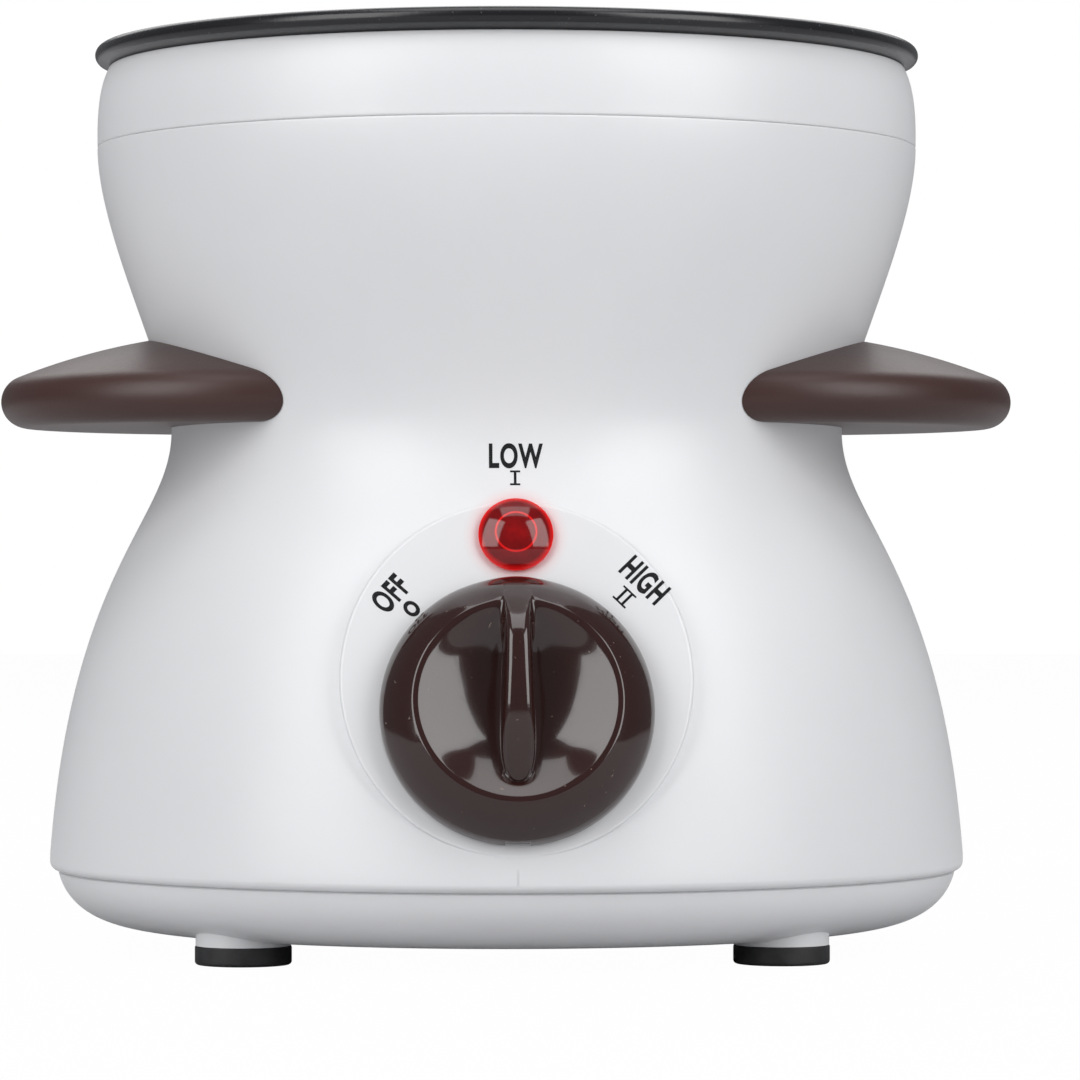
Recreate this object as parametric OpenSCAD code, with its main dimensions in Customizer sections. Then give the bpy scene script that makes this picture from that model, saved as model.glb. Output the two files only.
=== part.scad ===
/* [Housing] */
// Radius of the housing just above the base seam
base_r = 65.2; // [63:0.1:70]
// Height of the seam between base pan and housing
base_z = 11.2; // [10.6:0.1:12.5]
// Radius of the waist
waist_r = 48; // [47.6:0.1:50]
// Height of the waist
waist_z = 73.5; // [72:0.1:75]
// Radius of the housing at its top
top_r = 58.55; // [58.3:0.05:60]
// Height of the seam between housing and collar
top_z = 114; // [112:0.1:118]
// Wall thickness of the housing
wall = 2.2; // [1.9:0.1:2.5]

/* [Collar] */
// Height of the collar
collar_h = 11.4; // [9:0.1:14]
// How far the collar's upper edge lies inside the top of the housing
collar_in = 1.55; // [0.95:0.05:1.75]
// Width of the collar's upper face
collar_w = 2.1; // [1.8:0.05:2.3]

/* [Base pan and feet] */
// How far the flat bottom of the pan lies above the pads
pan_up = 0.4; // [0.2:0.1:1.4]
// Wall thickness of the pan
pan_wall = 2; // [1.6:0.1:2.3]
// How far the middle of each foot lies inside the housing's largest radius
foot_in = 13.3; // [11.5:0.1:15.7]
// Radius of the white foot posts
post_r = 6.5; // [6.2:0.1:7]
// Radius of the rubber pads
pad_r = 6.6; // [6.2:0.1:7.4]
// Height of the rubber pads below the posts
pad_h = 2.6; // [2:0.1:2.7]
// Number of vent slots in the pan
vent_count = 12; // [6:1:14]

/* [Handles] */
// How far the middle of each handle's dome lies inside the waist
handle_in = 16; // [14:0.1:17]
// Radius of a handle seen from above
handle_r = 40.3; // [39:0.1:42]
// Height of the flat underside of the handles above the waist
handle_up = 0.5; // [-0.5:0.1:1.5]
// Rise of the dome above the underside
handle_crown = 14.4; // [13.6:0.1:15]
// Radius of the rounded rim of a handle
handle_edge_r = 3.2; // [3:0.1:3.4]
// Wall thickness of the hollow handles
handle_wall = 2.4; // [2:0.1:2.7]

/* [Dial face] */
// Radius of the dial face seen from the front
dial_r = 23.5; // [23:0.1:24.5]
// How far the lower edge of the dial face lies above the base seam
dial_up = 4.6; // [4.3:0.1:5.3]
// How far the upper edge of the dial face stands out of the housing
dial_proud = 0.5; // [0.3:0.1:0.9]
// How far the middle of the lens lies below the upper edge of the dial face
lens_in = 4; // [3.9:0.1:4.2]
// Space between the lens and the knob
lens_space = 1.55; // [1.05:0.05:1.85]

/* [Knob] */
// How much smaller the knob's skirt is than the dial face
knob_in = 5.75; // [5.5:0.05:6.5]
// Width of the knob's shoulder, with the flat edge inside it
knob_shoulder_w = 4.45; // [3.95:0.05:5.2]
// Height of the shoulder above the dial face
knob_ring_h = 7.1; // [6.6:0.1:7.6]
// Height of the grip above the knob's shoulder
grip_rise = 6.5; // [5:0.1:7.9]

/* [Pot] */
// Height of the pot's bottom above the waist
pot_up = 2.5; // [2.1:0.1:4.5]
// Radius of the pot's flat bottom
pot_bottom_r = 33; // [31:0.1:34]
// Play between the pot's side and the opening in the collar
pot_play = 1.3; // [1:0.05:1.5]
// How far the pot's rim reaches over the edge of the collar
rim_over = 1.9; // [1.6:0.05:2.6]
// Height of the rim above the collar
rim_h = 3; // [2.7:0.1:3.4]
// Wall thickness of the pot
pot_wall = 1.6; // [1.2:0.1:2]

/* [Cord inlet] */
// Height of the inlet above the base seam
inlet_up = 12.8; // [10.8:0.1:16.8]
// Turn of the inlet behind the right-hand side, in degrees
inlet_turn = 12; // [9:1:24]
// Radius of the bore in the inlet bush
inlet_bore_r = 3.3; // [3:0.1:3.6]

/* [Hidden] */
// clearances: parts that are assembled, a shaft that runs, parts that lift out
fit_gap = 0.05;
seat_gap = 0.1;
lift_gap = 1;
over = 1;
$fn = 72;

// shares of a curve's rise or reach at which its two inner control points lie
low_curve_share = [0.18, 0.69, 0.21];
high_curve_share = [0.21, 0.31];
collar_curve_share = [0.21, 1.12, 0.31];
pan_curve_share = [0.6, 0.92, 0.39];
pot_curve_share = [0.95, 0.51, 0.53];

// housing
seam_round = 1.2;
seam_rise = 2.2;
seam_chamfer = 0.3;
shelf_in = 2.95;
shelf_h = 4;
shelf_slope_h = 3;
groove_in = 1.35;
groove_w = 0.8;
groove_h = 1.5;
boss_r = 4.5;
boss_l = 20;
rib_w = 1.8;

// liner and heater
liner_wall = 0.8;
flange_play = 0.2;
plate_in = 1;
plate_h = 3.2;
plate_groove_in = 8;
plate_tube_r = 3;
mica_in = 2;
mica_h = 1.2;
clamp_in = 1;
clamp_h = 1.2;
clamp_lip_h = 2.4;
stud_r = 1.5;
stud_in = 14;
stud_count = 3;
stud_h = 9.6;
nut_r = 3.2;
nut_h = 2.4;
window_r = 7.4;

// thermostat and fuse
cap_r = 6.3;
stat_body_r = 7.6;
stat_body_h = 8;
stat_ear_l = 29;
stat_ear_w = 10;
stat_ear_h = 0.8;
stat_screw_place = 11.5;
blade_w = 6.3;
blade_t = 0.8;
blade_h = 8;
fuse_r = 2;
fuse_l = 14;
fuse_in = 10;
strap_w = 5;
strap_t = 0.6;

// screws
screw_r = 1.7;
screw_head_r = 3.4;
screw_head_h = 2.2;
base_screw_l = 17;
boss_hole_l = 15;
post_web_drop = 2.2;
post_web_h = 2.5;
post_rise = 2.8;
post_hole_r = 4;
pad_plug_h = 2.6;
pad_chamfer = 0.5;
small_screw_r = 1.4;
small_head_r = 2.6;
small_head_h = 1.6;

// base pan
pan_side_w = 15.2;
pan_seam_in = 1.2;
lip_h = 3.3;
lip_gap = 0.3;
lip_w = 1.6;
vent_in_r = 18;
vent_out_r = 32;
vent_w = 2.6;
pan_rib_w = 1.8;
pan_rib_h = 2.4;
pan_rib_r = 36;
pan_rib_count = 4;

// handles
handle_screw_y = 14;
handle_screw_up = 3.6;
handle_boss_r = 4;
handle_boss_l = 12;
handle_screw_l = 12;
handle_seat_r = 3.6;
handle_rib_w = 2;

// dial face, switch and shaft
dial_wall = 2.6;
dial_low_proud = 0.14;
hub_hole_r = 5.6;
stand_h = 3;
stand_r = 3.4;
switch_screw_place = 10.5;
switch_w = 27;
switch_side_h = 22;
switch_h = 13;
switch_screw_l = 11;
shaft_r = 3;
shaft_cut = 0.8;
shaft_tail = 10;
run_gap = 0.05;

// knob
knob_lift = 0.6;
knob_skirt_h = 2.3;
knob_lip = 0.7;
knob_wall = 1.8;
bowl_depth = 3.4;
bowl_floor = 1.6;
hub_r = 4.5;
hub_h = 5;
grip_top_w = 3;
grip_end_w = 4.9;
grip_end_in = 4.7;
grip_root_h = 3;
grip_foot_drop = 0.9;
clip_t = 0.4;
clip_h = 3;
clip_slot = 3;
knob_rib_w = 1.2;
knob_rib_up = 0.5;
knob_rib_count = 6;
gate_w = 3.4;
gate_depth = 0.3;

// lens and lamp
lens_r = 4.9;
lens_rim_h = 0.7;
lens_h = 2.4;
lens_stem_r = 3.5;
lens_stem_l = 9;
lens_bore_r = 2.7;
retainer_r = 4.5;
retainer_h = 1.2;
lamp_r = 2.4;
lamp_l = 12;

// cord inlet and terminal block
bush_flange_r = 4.9;
bush_flange_h = 0.7;
bush_neck_r = 4.2;
bush_lip_r = 5.2;
bush_lip_h = 2;
bush_lip_gap = 0.3;
block_l = 24;
block_w = 14;
block_h = 11;
block_in = 0.7;
block_space = 2.2;
block_stand_h = 3;
block_hole_r = 1.6;
block_pitch = 8;

// turns: a quarter, and where the pot's rounded edge starts
quarter = 90;
rim_turn = -50;

// the base and what stands on it
foot_spread = (base_r - foot_in) / sqrt(2);
pan_z = pad_h + pan_up;
pan_flat_r = base_r - pan_side_w;
post_web_z = base_z - post_web_drop;
post_top_z = base_z + post_rise;
boss_top_z = post_top_z + boss_l;
block_x = foot_spread - block_in;
block_y = foot_spread - post_r - block_space - block_w / 2;
inlet_z = base_z + inlet_up;

// the rings round the top
shelf_r = top_r - shelf_in;
groove_r = top_r - groove_in;
liner_flange_r = groove_r - flange_play;
collar_r = top_r - collar_in;
collar_bore_r = collar_r - collar_w;
pot_side_r = collar_bore_r - pot_play;
rim_r = collar_r + rim_over;
pot_z = waist_z + pot_up;

// the heater under the pot
plate_r = pot_bottom_r - plate_in;
plate_groove_r = plate_r - plate_groove_in;
mica_r = plate_r - mica_in;
clamp_r = plate_r - clamp_in;
stud_place_r = plate_r - stud_in;
fuse_place = clamp_r - fuse_in;

// the handles
handle_reach = waist_r - handle_in;
handle_z = waist_z + handle_up;
handle_seat_x = sqrt(pow(waist_r - wall, 2) - pow(handle_screw_y, 2));

// the dial face, the knob and the lens
dial_z = base_z + dial_up + dial_r;
lens_rise = dial_r - lens_in;
knob_r = dial_r - knob_in;
knob_drop = knob_r + lens_space + lens_r - lens_rise;
knob_ring_r = knob_r - knob_shoulder_w;
grip_h = knob_ring_h + grip_rise;
grip_end_place = knob_ring_r - grip_end_in;
shaft_flat = shaft_r - shaft_cut;

// height steps of the stack under the pot
rim_z = top_z + collar_h;
liner_z = pot_z - lift_gap;
plate_z = liner_z - liner_wall - plate_h;
mica_z = plate_z - mica_h;
clamp_z = mica_z - clamp_h;
block_z = pan_z + pan_wall;
handle_screw_z = handle_z + handle_screw_up;

// how many steps each curve has
low_steps = 16;
high_steps = 12;
side_steps = 14;
round_steps = 5;

// a point on the curve that leaves a towards b and reaches d from c
function on_curve(a, b, c, d, t) =
    a * pow(1 - t, 3) + b * 3 * t * pow(1 - t, 2) + c * 3 * t * t * (1 - t) + d * pow(t, 3);
function curve(a, b, c, d, steps) = [for (i = [0 : steps]) on_curve(a, b, c, d, i / steps)];
function arc(middle, r, from, to, steps) =
    [for (i = [0 : steps]) let (t = from + (to - from) * i / steps) middle + r * [cos(t), sin(t)]];
function after_first(path) = [for (i = [1 : len(path) - 1]) path[i]];
function backwards(path) = [for (i = [len(path) - 1 : -1 : 0]) path[i]];

// the path moved to its right by d, square to its own run
function way(path, i) = path[min(i + 1, len(path) - 1)] - path[max(i - 1, 0)];
function beside(path, d) =
    [for (i = [0 : len(path) - 1]) let (w = way(path, i)) path[i] + d * [w[1], -w[0]] / norm(w)];

// outline of the housing, from above the base seam up to the collar seam
belly_z = base_z + seam_rise;
low_side = curve(
    [base_r, belly_z],
    [base_r - low_curve_share[0] * (base_r - waist_r), belly_z + low_curve_share[1] * (waist_z - belly_z)],
    [waist_r, waist_z - low_curve_share[2] * (waist_z - belly_z)],
    [waist_r, waist_z],
    low_steps);
high_side = curve(
    [waist_r, waist_z],
    [waist_r, waist_z + high_curve_share[0] * (top_z - waist_z)],
    [top_r, top_z - high_curve_share[1] * (top_z - waist_z)],
    [top_r, top_z],
    high_steps);
housing_side = concat(low_side, [for (i = [1 : high_steps - 1]) high_side[i]]);
function housing_r(z) = lookup(z, [for (p = housing_side) [p[1], p[0]]]);

// outline of the pot's side, from its flat bottom up to the rim
pot_side = curve(
    [pot_bottom_r, pot_z],
    [pot_bottom_r + pot_curve_share[1] * (pot_side_r - pot_bottom_r), pot_z],
    [pot_side_r - (1 - pot_curve_share[0]) * (pot_side_r - pot_bottom_r), rim_z - pot_curve_share[2] * (rim_z - pot_z)],
    [pot_side_r, rim_z],
    side_steps);

// the dial face leans as the housing does behind it, its lower edge a little proud and its upper one more
dial_drop_r = housing_r(dial_z - dial_r) + dial_low_proud - housing_r(dial_z + dial_r) - dial_proud;
dial_tilt = atan(dial_drop_r / (2 * dial_r));
// its middle lies this far in front of the axis
dial_reach = housing_r(dial_z + dial_r) + dial_proud + dial_r * tan(dial_tilt);

// the dial face's own frame: x to the right, y up the face, z out of the face
module at_dial(up = 0) {
    translate([0, -dial_reach, dial_z]) rotate([90 - dial_tilt, 0, 0]) translate([0, up, 0]) children();
}

// the two handle screws of the right-hand side, z pointing outwards from the seat
module at_handle_screws() {
    for (side = [-1, 1])
        translate([handle_seat_x, side * handle_screw_y, handle_screw_z]) rotate([0, 90, 0]) children();
}

module at_feet() {
    for (x = [-1, 1])
        for (y = [-1, 1])
            translate([x * foot_spread, y * foot_spread, 0]) children();
}

// the inlet's own frame: z out of the wall and square to it, at the housing's surface
inlet_lean = atan((housing_r(inlet_z - bush_flange_r) - housing_r(inlet_z + bush_flange_r)) / (2 * bush_flange_r));
module at_inlet() {
    rotate([0, 0, inlet_turn]) translate([housing_r(inlet_z), 0, inlet_z]) rotate([0, 90 - inlet_lean, 0]) children();
}

// solid with the housing's outline, moved inwards by inset
module housing_form(inset) {
    side = beside(housing_side, -inset);
    rotate_extrude()
        polygon(concat([[0, belly_z]], side, [[0, side[len(side) - 1][1]]]));
}

// the housing's wall, with a shelf for the liner's flange and a groove for the collar at its top
module housing_wall() {
    inner_side = [for (p = beside(housing_side, -wall)) if (p[1] < top_z - shelf_h - shelf_slope_h) p];
    rotate_extrude()
        polygon(concat(
            [[base_r - wall, base_z]],
            arc([base_r - seam_round, base_z + seam_round], seam_round, -quarter, 0, round_steps),
            housing_side,
            [[top_r, top_z - seam_chamfer], [top_r - seam_chamfer, top_z]],
            [[groove_r + groove_w, top_z], [groove_r + groove_w, top_z - groove_h]],
            [[groove_r, top_z - groove_h], [groove_r, top_z]],
            [[shelf_r, top_z], [shelf_r, top_z - shelf_h]],
            backwards(inner_side)));
}

// the round of the dial face, along the way the mould opens
module dial_round(from, to) {
    translate([0, -from, dial_z]) rotate([90, 0, 0]) cylinder(r = dial_r, h = to - from);
}

module dial_plate() {
    intersection() {
        dial_round(waist_r / 2, base_r + over);
        at_dial() translate([-base_r, -base_r, -dial_wall]) cube([2 * base_r, 2 * base_r, dial_wall]);
    }
}

module dial_space() {
    intersection() {
        dial_round(waist_r / 2, base_r + over);
        at_dial() translate([-base_r, -base_r, 0]) cube([2 * base_r, 2 * base_r, base_r]);
    }
}

// hollow bosses for the base screws, each tied to the wall by a rib
module screw_bosses() {
    rib_l = base_r - foot_spread;
    intersection() {
        at_feet() translate([0, 0, post_web_z + post_web_h])
            cylinder(r = boss_r, h = boss_top_z - post_web_z - post_web_h);
        cylinder(r = base_r, h = top_z);
    }
    intersection() {
        for (turn = [45 : 90 : 315])
            rotate([0, 0, turn]) translate([foot_spread * sqrt(2), -rib_w / 2, post_top_z + lip_h])
                cube([rib_l, rib_w, boss_top_z - post_top_z - lip_h]);
        housing_form(wall / 2);
    }
}

module handle_seats() {
    intersection() {
        for (side = [0, 1])
            mirror([side, 0, 0]) at_handle_screws() cylinder(r = handle_seat_r, h = waist_r - handle_seat_x + over);
        housing_form(wall / 2);
    }
}

module switch_stands() {
    at_dial(-knob_drop)
        for (side = [-1, 1])
            translate([side * switch_screw_place, 0, -dial_wall - stand_h]) cylinder(r = stand_r, h = stand_h + over);
}

module dial_holes() {
    at_dial(-knob_drop) {
        translate([0, 0, -dial_wall - over]) cylinder(r = hub_hole_r, h = dial_wall + 2 * over);
        for (side = [-1, 1])
            translate([side * switch_screw_place, 0, 0]) {
                translate([0, 0, -dial_wall - stand_h - over])
                    cylinder(r = small_screw_r + fit_gap, h = dial_wall + stand_h + 2 * over);
                translate([0, 0, -small_head_h - fit_gap])
                    cylinder(r = small_head_r + fit_gap, h = small_head_h + over);
            }
    }
    at_dial(lens_rise)
        translate([0, 0, -dial_wall - over]) cylinder(r = lens_stem_r + fit_gap, h = dial_wall + 2 * over);
}

module housing() {
    color("whitesmoke")
    difference() {
        union() {
            difference() {
                union() {
                    housing_wall();
                    dial_plate();
                    handle_seats();
                }
                dial_space();
            }
            screw_bosses();
            switch_stands();
        }
        dial_holes();
        at_feet() translate([0, 0, post_web_z]) cylinder(r = screw_r + fit_gap, h = post_web_h + boss_hole_l);
        for (side = [0, 1])
            mirror([side, 0, 0]) at_handle_screws() {
                translate([0, 0, -wall]) cylinder(r = small_head_r + seat_gap, h = wall);
                cylinder(r = small_screw_r + fit_gap, h = wall + waist_r - handle_seat_x + over);
            }
        at_inlet() translate([0, 0, -2 * wall]) cylinder(r = bush_neck_r + fit_gap, h = 3 * wall);
    }
}

// ring over the housing: it holds the liner's flange down and carries the pot's rim
module collar() {
    outer = curve(
        [top_r, top_z + seam_chamfer],
        [top_r, top_z + collar_curve_share[0] * collar_h],
        [collar_r + collar_curve_share[1] * (top_r - collar_r), rim_z - collar_curve_share[2] * collar_h],
        [collar_r, rim_z - seam_chamfer],
        side_steps);
    color("whitesmoke")
    rotate_extrude()
        polygon(concat(
            [[groove_r + groove_w - fit_gap, top_z], [top_r - seam_chamfer, top_z]],
            outer,
            [[collar_r - seam_chamfer, rim_z], [collar_bore_r, rim_z]],
            [[collar_bore_r, top_z + liner_wall + fit_gap], [liner_flange_r + fit_gap, top_z + liner_wall + fit_gap]],
            [[liner_flange_r + fit_gap, top_z], [groove_r + fit_gap, top_z]],
            [[groove_r + fit_gap, top_z - groove_h + seat_gap]],
            [[groove_r + groove_w - fit_gap, top_z - groove_h + seat_gap]]));
}

// outline of the base pan, from its flat bottom up to the seam
seam_r = base_r - pan_seam_in;
pan_side = curve(
    [pan_flat_r, pan_z],
    [pan_flat_r + pan_curve_share[0] * (seam_r - pan_flat_r), pan_z],
    [pan_flat_r + pan_curve_share[1] * (seam_r - pan_flat_r), pan_z + pan_curve_share[2] * (base_z - pan_z)],
    [seam_r, base_z - seam_chamfer],
    side_steps);

// a ring round the vents and spokes out to the side stiffen the pan's floor
module pan_ribs() {
    rib_z = pan_z + pan_wall / 2;
    rib_top_z = pan_z + pan_wall + pan_rib_h;
    translate([0, 0, rib_z])
        difference() {
            cylinder(r = pan_rib_r, h = rib_top_z - rib_z);
            translate([0, 0, -over]) cylinder(r = pan_rib_r - pan_rib_w, h = rib_top_z - rib_z + 2 * over);
        }
    intersection() {
        for (i = [0 : pan_rib_count - 1])
            rotate([0, 0, i * 4 * quarter / pan_rib_count]) translate([pan_rib_r - pan_rib_w / 2, -pan_rib_w / 2, rib_z])
                cube([seam_r - pan_rib_r, pan_rib_w, rib_top_z - rib_z]);
        rotate_extrude()
            polygon(concat([[0, pan_z]], beside(pan_side, -pan_wall / 2), [[0, base_z]]));
    }
}

module pan_shell() {
    inner = [for (p = beside(pan_side, -pan_wall)) if (p[1] < base_z - pan_wall) p];
    lip_r = base_r - wall - lip_gap;
    rotate_extrude()
        polygon(concat(
            [[0, pan_z]],
            pan_side,
            [[seam_r - seam_chamfer, base_z], [lip_r, base_z]],
            [[lip_r, base_z + lip_h], [lip_r - lip_w, base_z + lip_h]],
            backwards(inner),
            [[0, pan_z + pan_wall]]));
}

// hollow post: the pad's plug below, the screw's web in the middle, the boss's socket above
module foot_post() {
    translate([0, 0, pad_h]) cylinder(r = post_r, h = post_top_z - pad_h);
}

module post_cuts() {
    translate([0, 0, pad_h - over]) cylinder(r = post_hole_r, h = post_web_z - pad_h + over);
    translate([0, 0, pad_h]) cylinder(r = screw_r + fit_gap, h = post_top_z);
    translate([0, 0, post_web_z + post_web_h]) cylinder(r = boss_r + fit_gap, h = post_top_z);
}

module base_pan() {
    color("whitesmoke")
    difference() {
        union() {
            pan_shell();
            pan_ribs();
            at_feet() foot_post();
            translate([block_x, block_y, pan_z]) block_stands(screw_r + rib_w);
        }
        at_feet() post_cuts();
        translate([block_x, block_y, pan_z + pan_wall / 2]) block_stands(small_screw_r + fit_gap);
        for (i = [0 : vent_count - 1])
            rotate([0, 0, (i + 1 / 2) * 360 / vent_count]) vent_slot();
    }
}

module vent_slot() {
    translate([vent_in_r, -vent_w / 2, pan_z - over]) cube([vent_out_r - vent_in_r, vent_w, pan_wall + 2 * over]);
    for (r = [vent_in_r, vent_out_r])
        translate([r, 0, pan_z - over]) cylinder(r = vent_w / 2, h = pan_wall + 2 * over);
}

module block_stands(r) {
    for (side = [-1, 1])
        translate([side * block_pitch, 0, 0]) cylinder(r = r, h = pan_wall + block_stand_h);
}

// rubber pad with a plug that fills the mouth of the post
module foot_pad(x, y) {
    color("black")
    translate([x * foot_spread, y * foot_spread, 0]) {
        rotate_extrude()
            polygon([[0, 0], [pad_r - pad_chamfer, 0], [pad_r, pad_chamfer], [pad_r, pad_h], [0, pad_h]]);
        cylinder(r = post_hole_r - fit_gap, h = pad_h + pad_plug_h);
    }
}

module foot_pad_front_left() { foot_pad(-1, -1); }
module foot_pad_front_right() { foot_pad(1, -1); }
module foot_pad_rear_left() { foot_pad(-1, 1); }
module foot_pad_rear_right() { foot_pad(1, 1); }

// screw with its head's seat at zero and its shank upwards, with a cross recess
module screw(r, head_r, head_h, l) {
    difference() {
        union() {
            translate([0, 0, -head_h]) cylinder(r = head_r, h = head_h);
            cylinder(r = r, h = l);
        }
        for (turn = [0, 90])
            rotate([0, 0, turn]) translate([-r, -r / 4, -head_h - over]) cube([2 * r, r / 2, over + head_h / 2]);
    }
}

module base_screws() {
    color("silver")
    at_feet() translate([0, 0, post_web_z]) screw(screw_r, screw_head_r, screw_head_h, base_screw_l);
}

// dome of revolution with a flat underside and a rounded rim, its rise being crown
module handle_dome(r, crown, edge) {
    flat_r = r - edge;
    dome_r = (flat_r * flat_r + crown * crown - 2 * crown * edge) / (2 * (crown - 2 * edge));
    join = acos(flat_r / (dome_r - edge));
    rotate_extrude()
        polygon(concat(
            [[0, 0]],
            arc([flat_r, edge], edge, -quarter, 0, round_steps),
            after_first(arc([flat_r, edge], edge, 0, join, round_steps)),
            [for (p = arc([0, crown - dome_r], dome_r, join, quarter, side_steps)) if (p[1] < crown) p],
            [[0, crown]]));
}

// the hollow of a handle, open to the housing: a rib in its middle and one over each screw boss are left standing
module handle_hollow() {
    difference() {
        translate([handle_reach, 0, handle_z + handle_wall])
            handle_dome(handle_r - handle_wall, handle_crown - 2 * handle_wall, handle_edge_r - handle_wall);
        for (y = [-handle_screw_y, 0, handle_screw_y])
            translate([0, y - handle_rib_w / 2, handle_z])
                cube([handle_reach + handle_r, handle_rib_w, handle_crown]);
        at_handle_screws() cylinder(r = handle_boss_r, h = waist_r - handle_seat_x + handle_boss_l);
    }
}

module handle() {
    color("#4a2f29")
    difference() {
        translate([handle_reach, 0, handle_z]) handle_dome(handle_r, handle_crown, handle_edge_r);
        handle_hollow();
        housing_form(-fit_gap);
        translate([-handle_r - handle_reach, -handle_r, handle_z - over])
            cube([handle_r + handle_reach, 2 * handle_r, handle_crown + 2 * over]);
        at_handle_screws() cylinder(r = small_screw_r + fit_gap, h = handle_screw_l + over);
    }
}

module handle_right() { handle(); }
module handle_left() { mirror([1, 0, 0]) handle(); }

module handle_screws() {
    color("silver")
    for (side = [0, 1])
        mirror([side, 0, 0]) at_handle_screws() screw(small_screw_r, small_head_r, small_head_h, handle_screw_l);
}

// drawn well that hangs by its flange, with three studs under its floor
module liner() {
    inner = beside(pot_side, lift_gap);
    outer = beside(pot_side, lift_gap + liner_wall);
    outer_low = [for (p = outer) if (p[1] < top_z) p];
    inner_low = [for (p = inner) if (p[1] < top_z) p];
    neck_r = lookup(top_z + liner_wall, [for (p = inner) [p[1], p[0]]]);
    color("lightgray")
    union() {
        rotate_extrude()
            polygon(concat(
                [[0, liner_z - liner_wall]],
                outer_low,
                [[neck_r + liner_wall, top_z], [liner_flange_r, top_z], [liner_flange_r, top_z + liner_wall]],
                [[neck_r, top_z + liner_wall]],
                backwards(inner_low),
                [[0, liner_z]]));
        at_studs(liner_z - liner_wall - stud_h) cylinder(r = stud_r, h = stud_h + liner_wall / 2);
    }
}

module at_studs(z) {
    for (i = [0 : stud_count - 1])
        rotate([0, 0, i * 360 / stud_count]) translate([stud_place_r, 0, z]) children();
}

module stud_holes(z, h) {
    at_studs(z - over) cylinder(r = stud_r + fit_gap, h = h + 2 * over);
}

// cast plate with a raised ring over the heater
module heating_plate() {
    color("silver")
    difference() {
        translate([0, 0, plate_z]) cylinder(r = plate_r, h = plate_h);
        stud_holes(plate_z, plate_h);
        translate([0, 0, plate_z])
            rotate_extrude() translate([plate_groove_r, 0]) circle(r = plate_tube_r / 2);
    }
}

module heater_element() {
    color("goldenrod")
    difference() {
        translate([0, 0, mica_z]) cylinder(r = mica_r, h = mica_h);
        stud_holes(mica_z, mica_h);
        translate([0, 0, mica_z - over]) cylinder(r = window_r, h = mica_h + 2 * over);
    }
}

module heater_clamp() {
    color("gray")
    difference() {
        rotate_extrude()
            polygon([
                [0, clamp_z], [clamp_r - clamp_h, clamp_z], [clamp_r - clamp_h, clamp_z - clamp_lip_h],
                [clamp_r, clamp_z - clamp_lip_h], [clamp_r, mica_z], [0, mica_z]]);
        stud_holes(clamp_z, clamp_h);
        translate([0, 0, clamp_z - over]) cylinder(r = window_r, h = clamp_h + 2 * over);
        stat_screw_places(clamp_z - over) cylinder(r = small_screw_r + fit_gap, h = clamp_h + 2 * over);
    }
}

module heater_nuts() {
    color("silver")
    at_studs(clamp_z - nut_h)
        difference() {
            cylinder(r = nut_r, h = nut_h, $fn = 6);
            translate([0, 0, -over]) cylinder(r = stud_r + fit_gap, h = nut_h + 2 * over);
        }
}

module stat_screw_places(z) {
    for (side = [-1, 1])
        translate([0, side * stat_screw_place, z]) children();
}

// snap-disc thermostat: its cap reaches through the clamp and the mica to the plate
module thermostat() {
    ear_z = clamp_z - stat_ear_h;
    color("dimgray")
    difference() {
        union() {
            translate([0, 0, ear_z]) cylinder(r = cap_r, h = plate_z - ear_z - seat_gap);
            translate([-stat_ear_w / 2, -stat_ear_l / 2, ear_z]) cube([stat_ear_w, stat_ear_l, stat_ear_h]);
            translate([0, 0, ear_z - stat_body_h]) cylinder(r = stat_body_r, h = stat_body_h);
            for (side = [-1, 1])
                translate([side * stat_body_r / 2 - blade_t / 2, -blade_w / 2, ear_z - stat_body_h - blade_h])
                    cube([blade_t, blade_w, blade_h]);
        }
        stat_screw_places(ear_z - over) cylinder(r = small_screw_r + fit_gap, h = stat_ear_h + 2 * over);
    }
}

module thermostat_screws() {
    color("silver")
    stat_screw_places(clamp_z - stat_ear_h)
        screw(small_screw_r, small_head_r, small_head_h, stat_ear_h + clamp_h - seat_gap);
}

module thermal_fuse() {
    color("silver")
    translate([-fuse_place, -fuse_l / 2, clamp_z - fuse_r - strap_t / 2]) rotate([-90, 0, 0]) cylinder(r = fuse_r, h = fuse_l);
}

// strap that holds the fuse up against the clamp plate
module fuse_strap() {
    z = clamp_z - fuse_r - strap_t / 2;
    hold_r = fuse_r + fit_gap;
    color("gray")
    translate([-fuse_place, strap_w / 2, z]) rotate([90, 0, 0])
        difference() {
            union() {
                cylinder(r = hold_r + strap_t, h = strap_w);
                for (side = [-1, 1])
                    translate([side * (hold_r + strap_t / 2) - strap_t / 2, 0, 0])
                        cube([strap_t, clamp_z - z, strap_w]);
            }
            translate([0, 0, -over]) cylinder(r = hold_r, h = strap_w + 2 * over);
            translate([-hold_r, 0, -over]) cube([2 * hold_r, clamp_z - z + over, strap_w + 2 * over]);
            translate([-base_r, clamp_z - z, -over]) cube([2 * base_r, base_r, strap_w + 2 * over]);
        }
}

// clear red cap with a hollow stem that goes through the dial face
module indicator_lens() {
    rise = lens_h - lens_rim_h;
    crown_r = (lens_r * lens_r + rise * rise) / (2 * rise);
    edge_turn = asin(lens_r / crown_r);
    color("red")
    at_dial(lens_rise)
    rotate_extrude()
        polygon(concat(
            [[lens_bore_r, -lens_stem_l], [lens_stem_r, -lens_stem_l], [lens_stem_r, 0], [lens_r, 0]],
            [for (p = arc([0, lens_h - crown_r], crown_r, quarter - edge_turn, quarter, side_steps)) if (p[1] < lens_h) p],
            [[0, lens_h], [0, lens_rim_h], [lens_bore_r, lens_rim_h]]));
}

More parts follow.
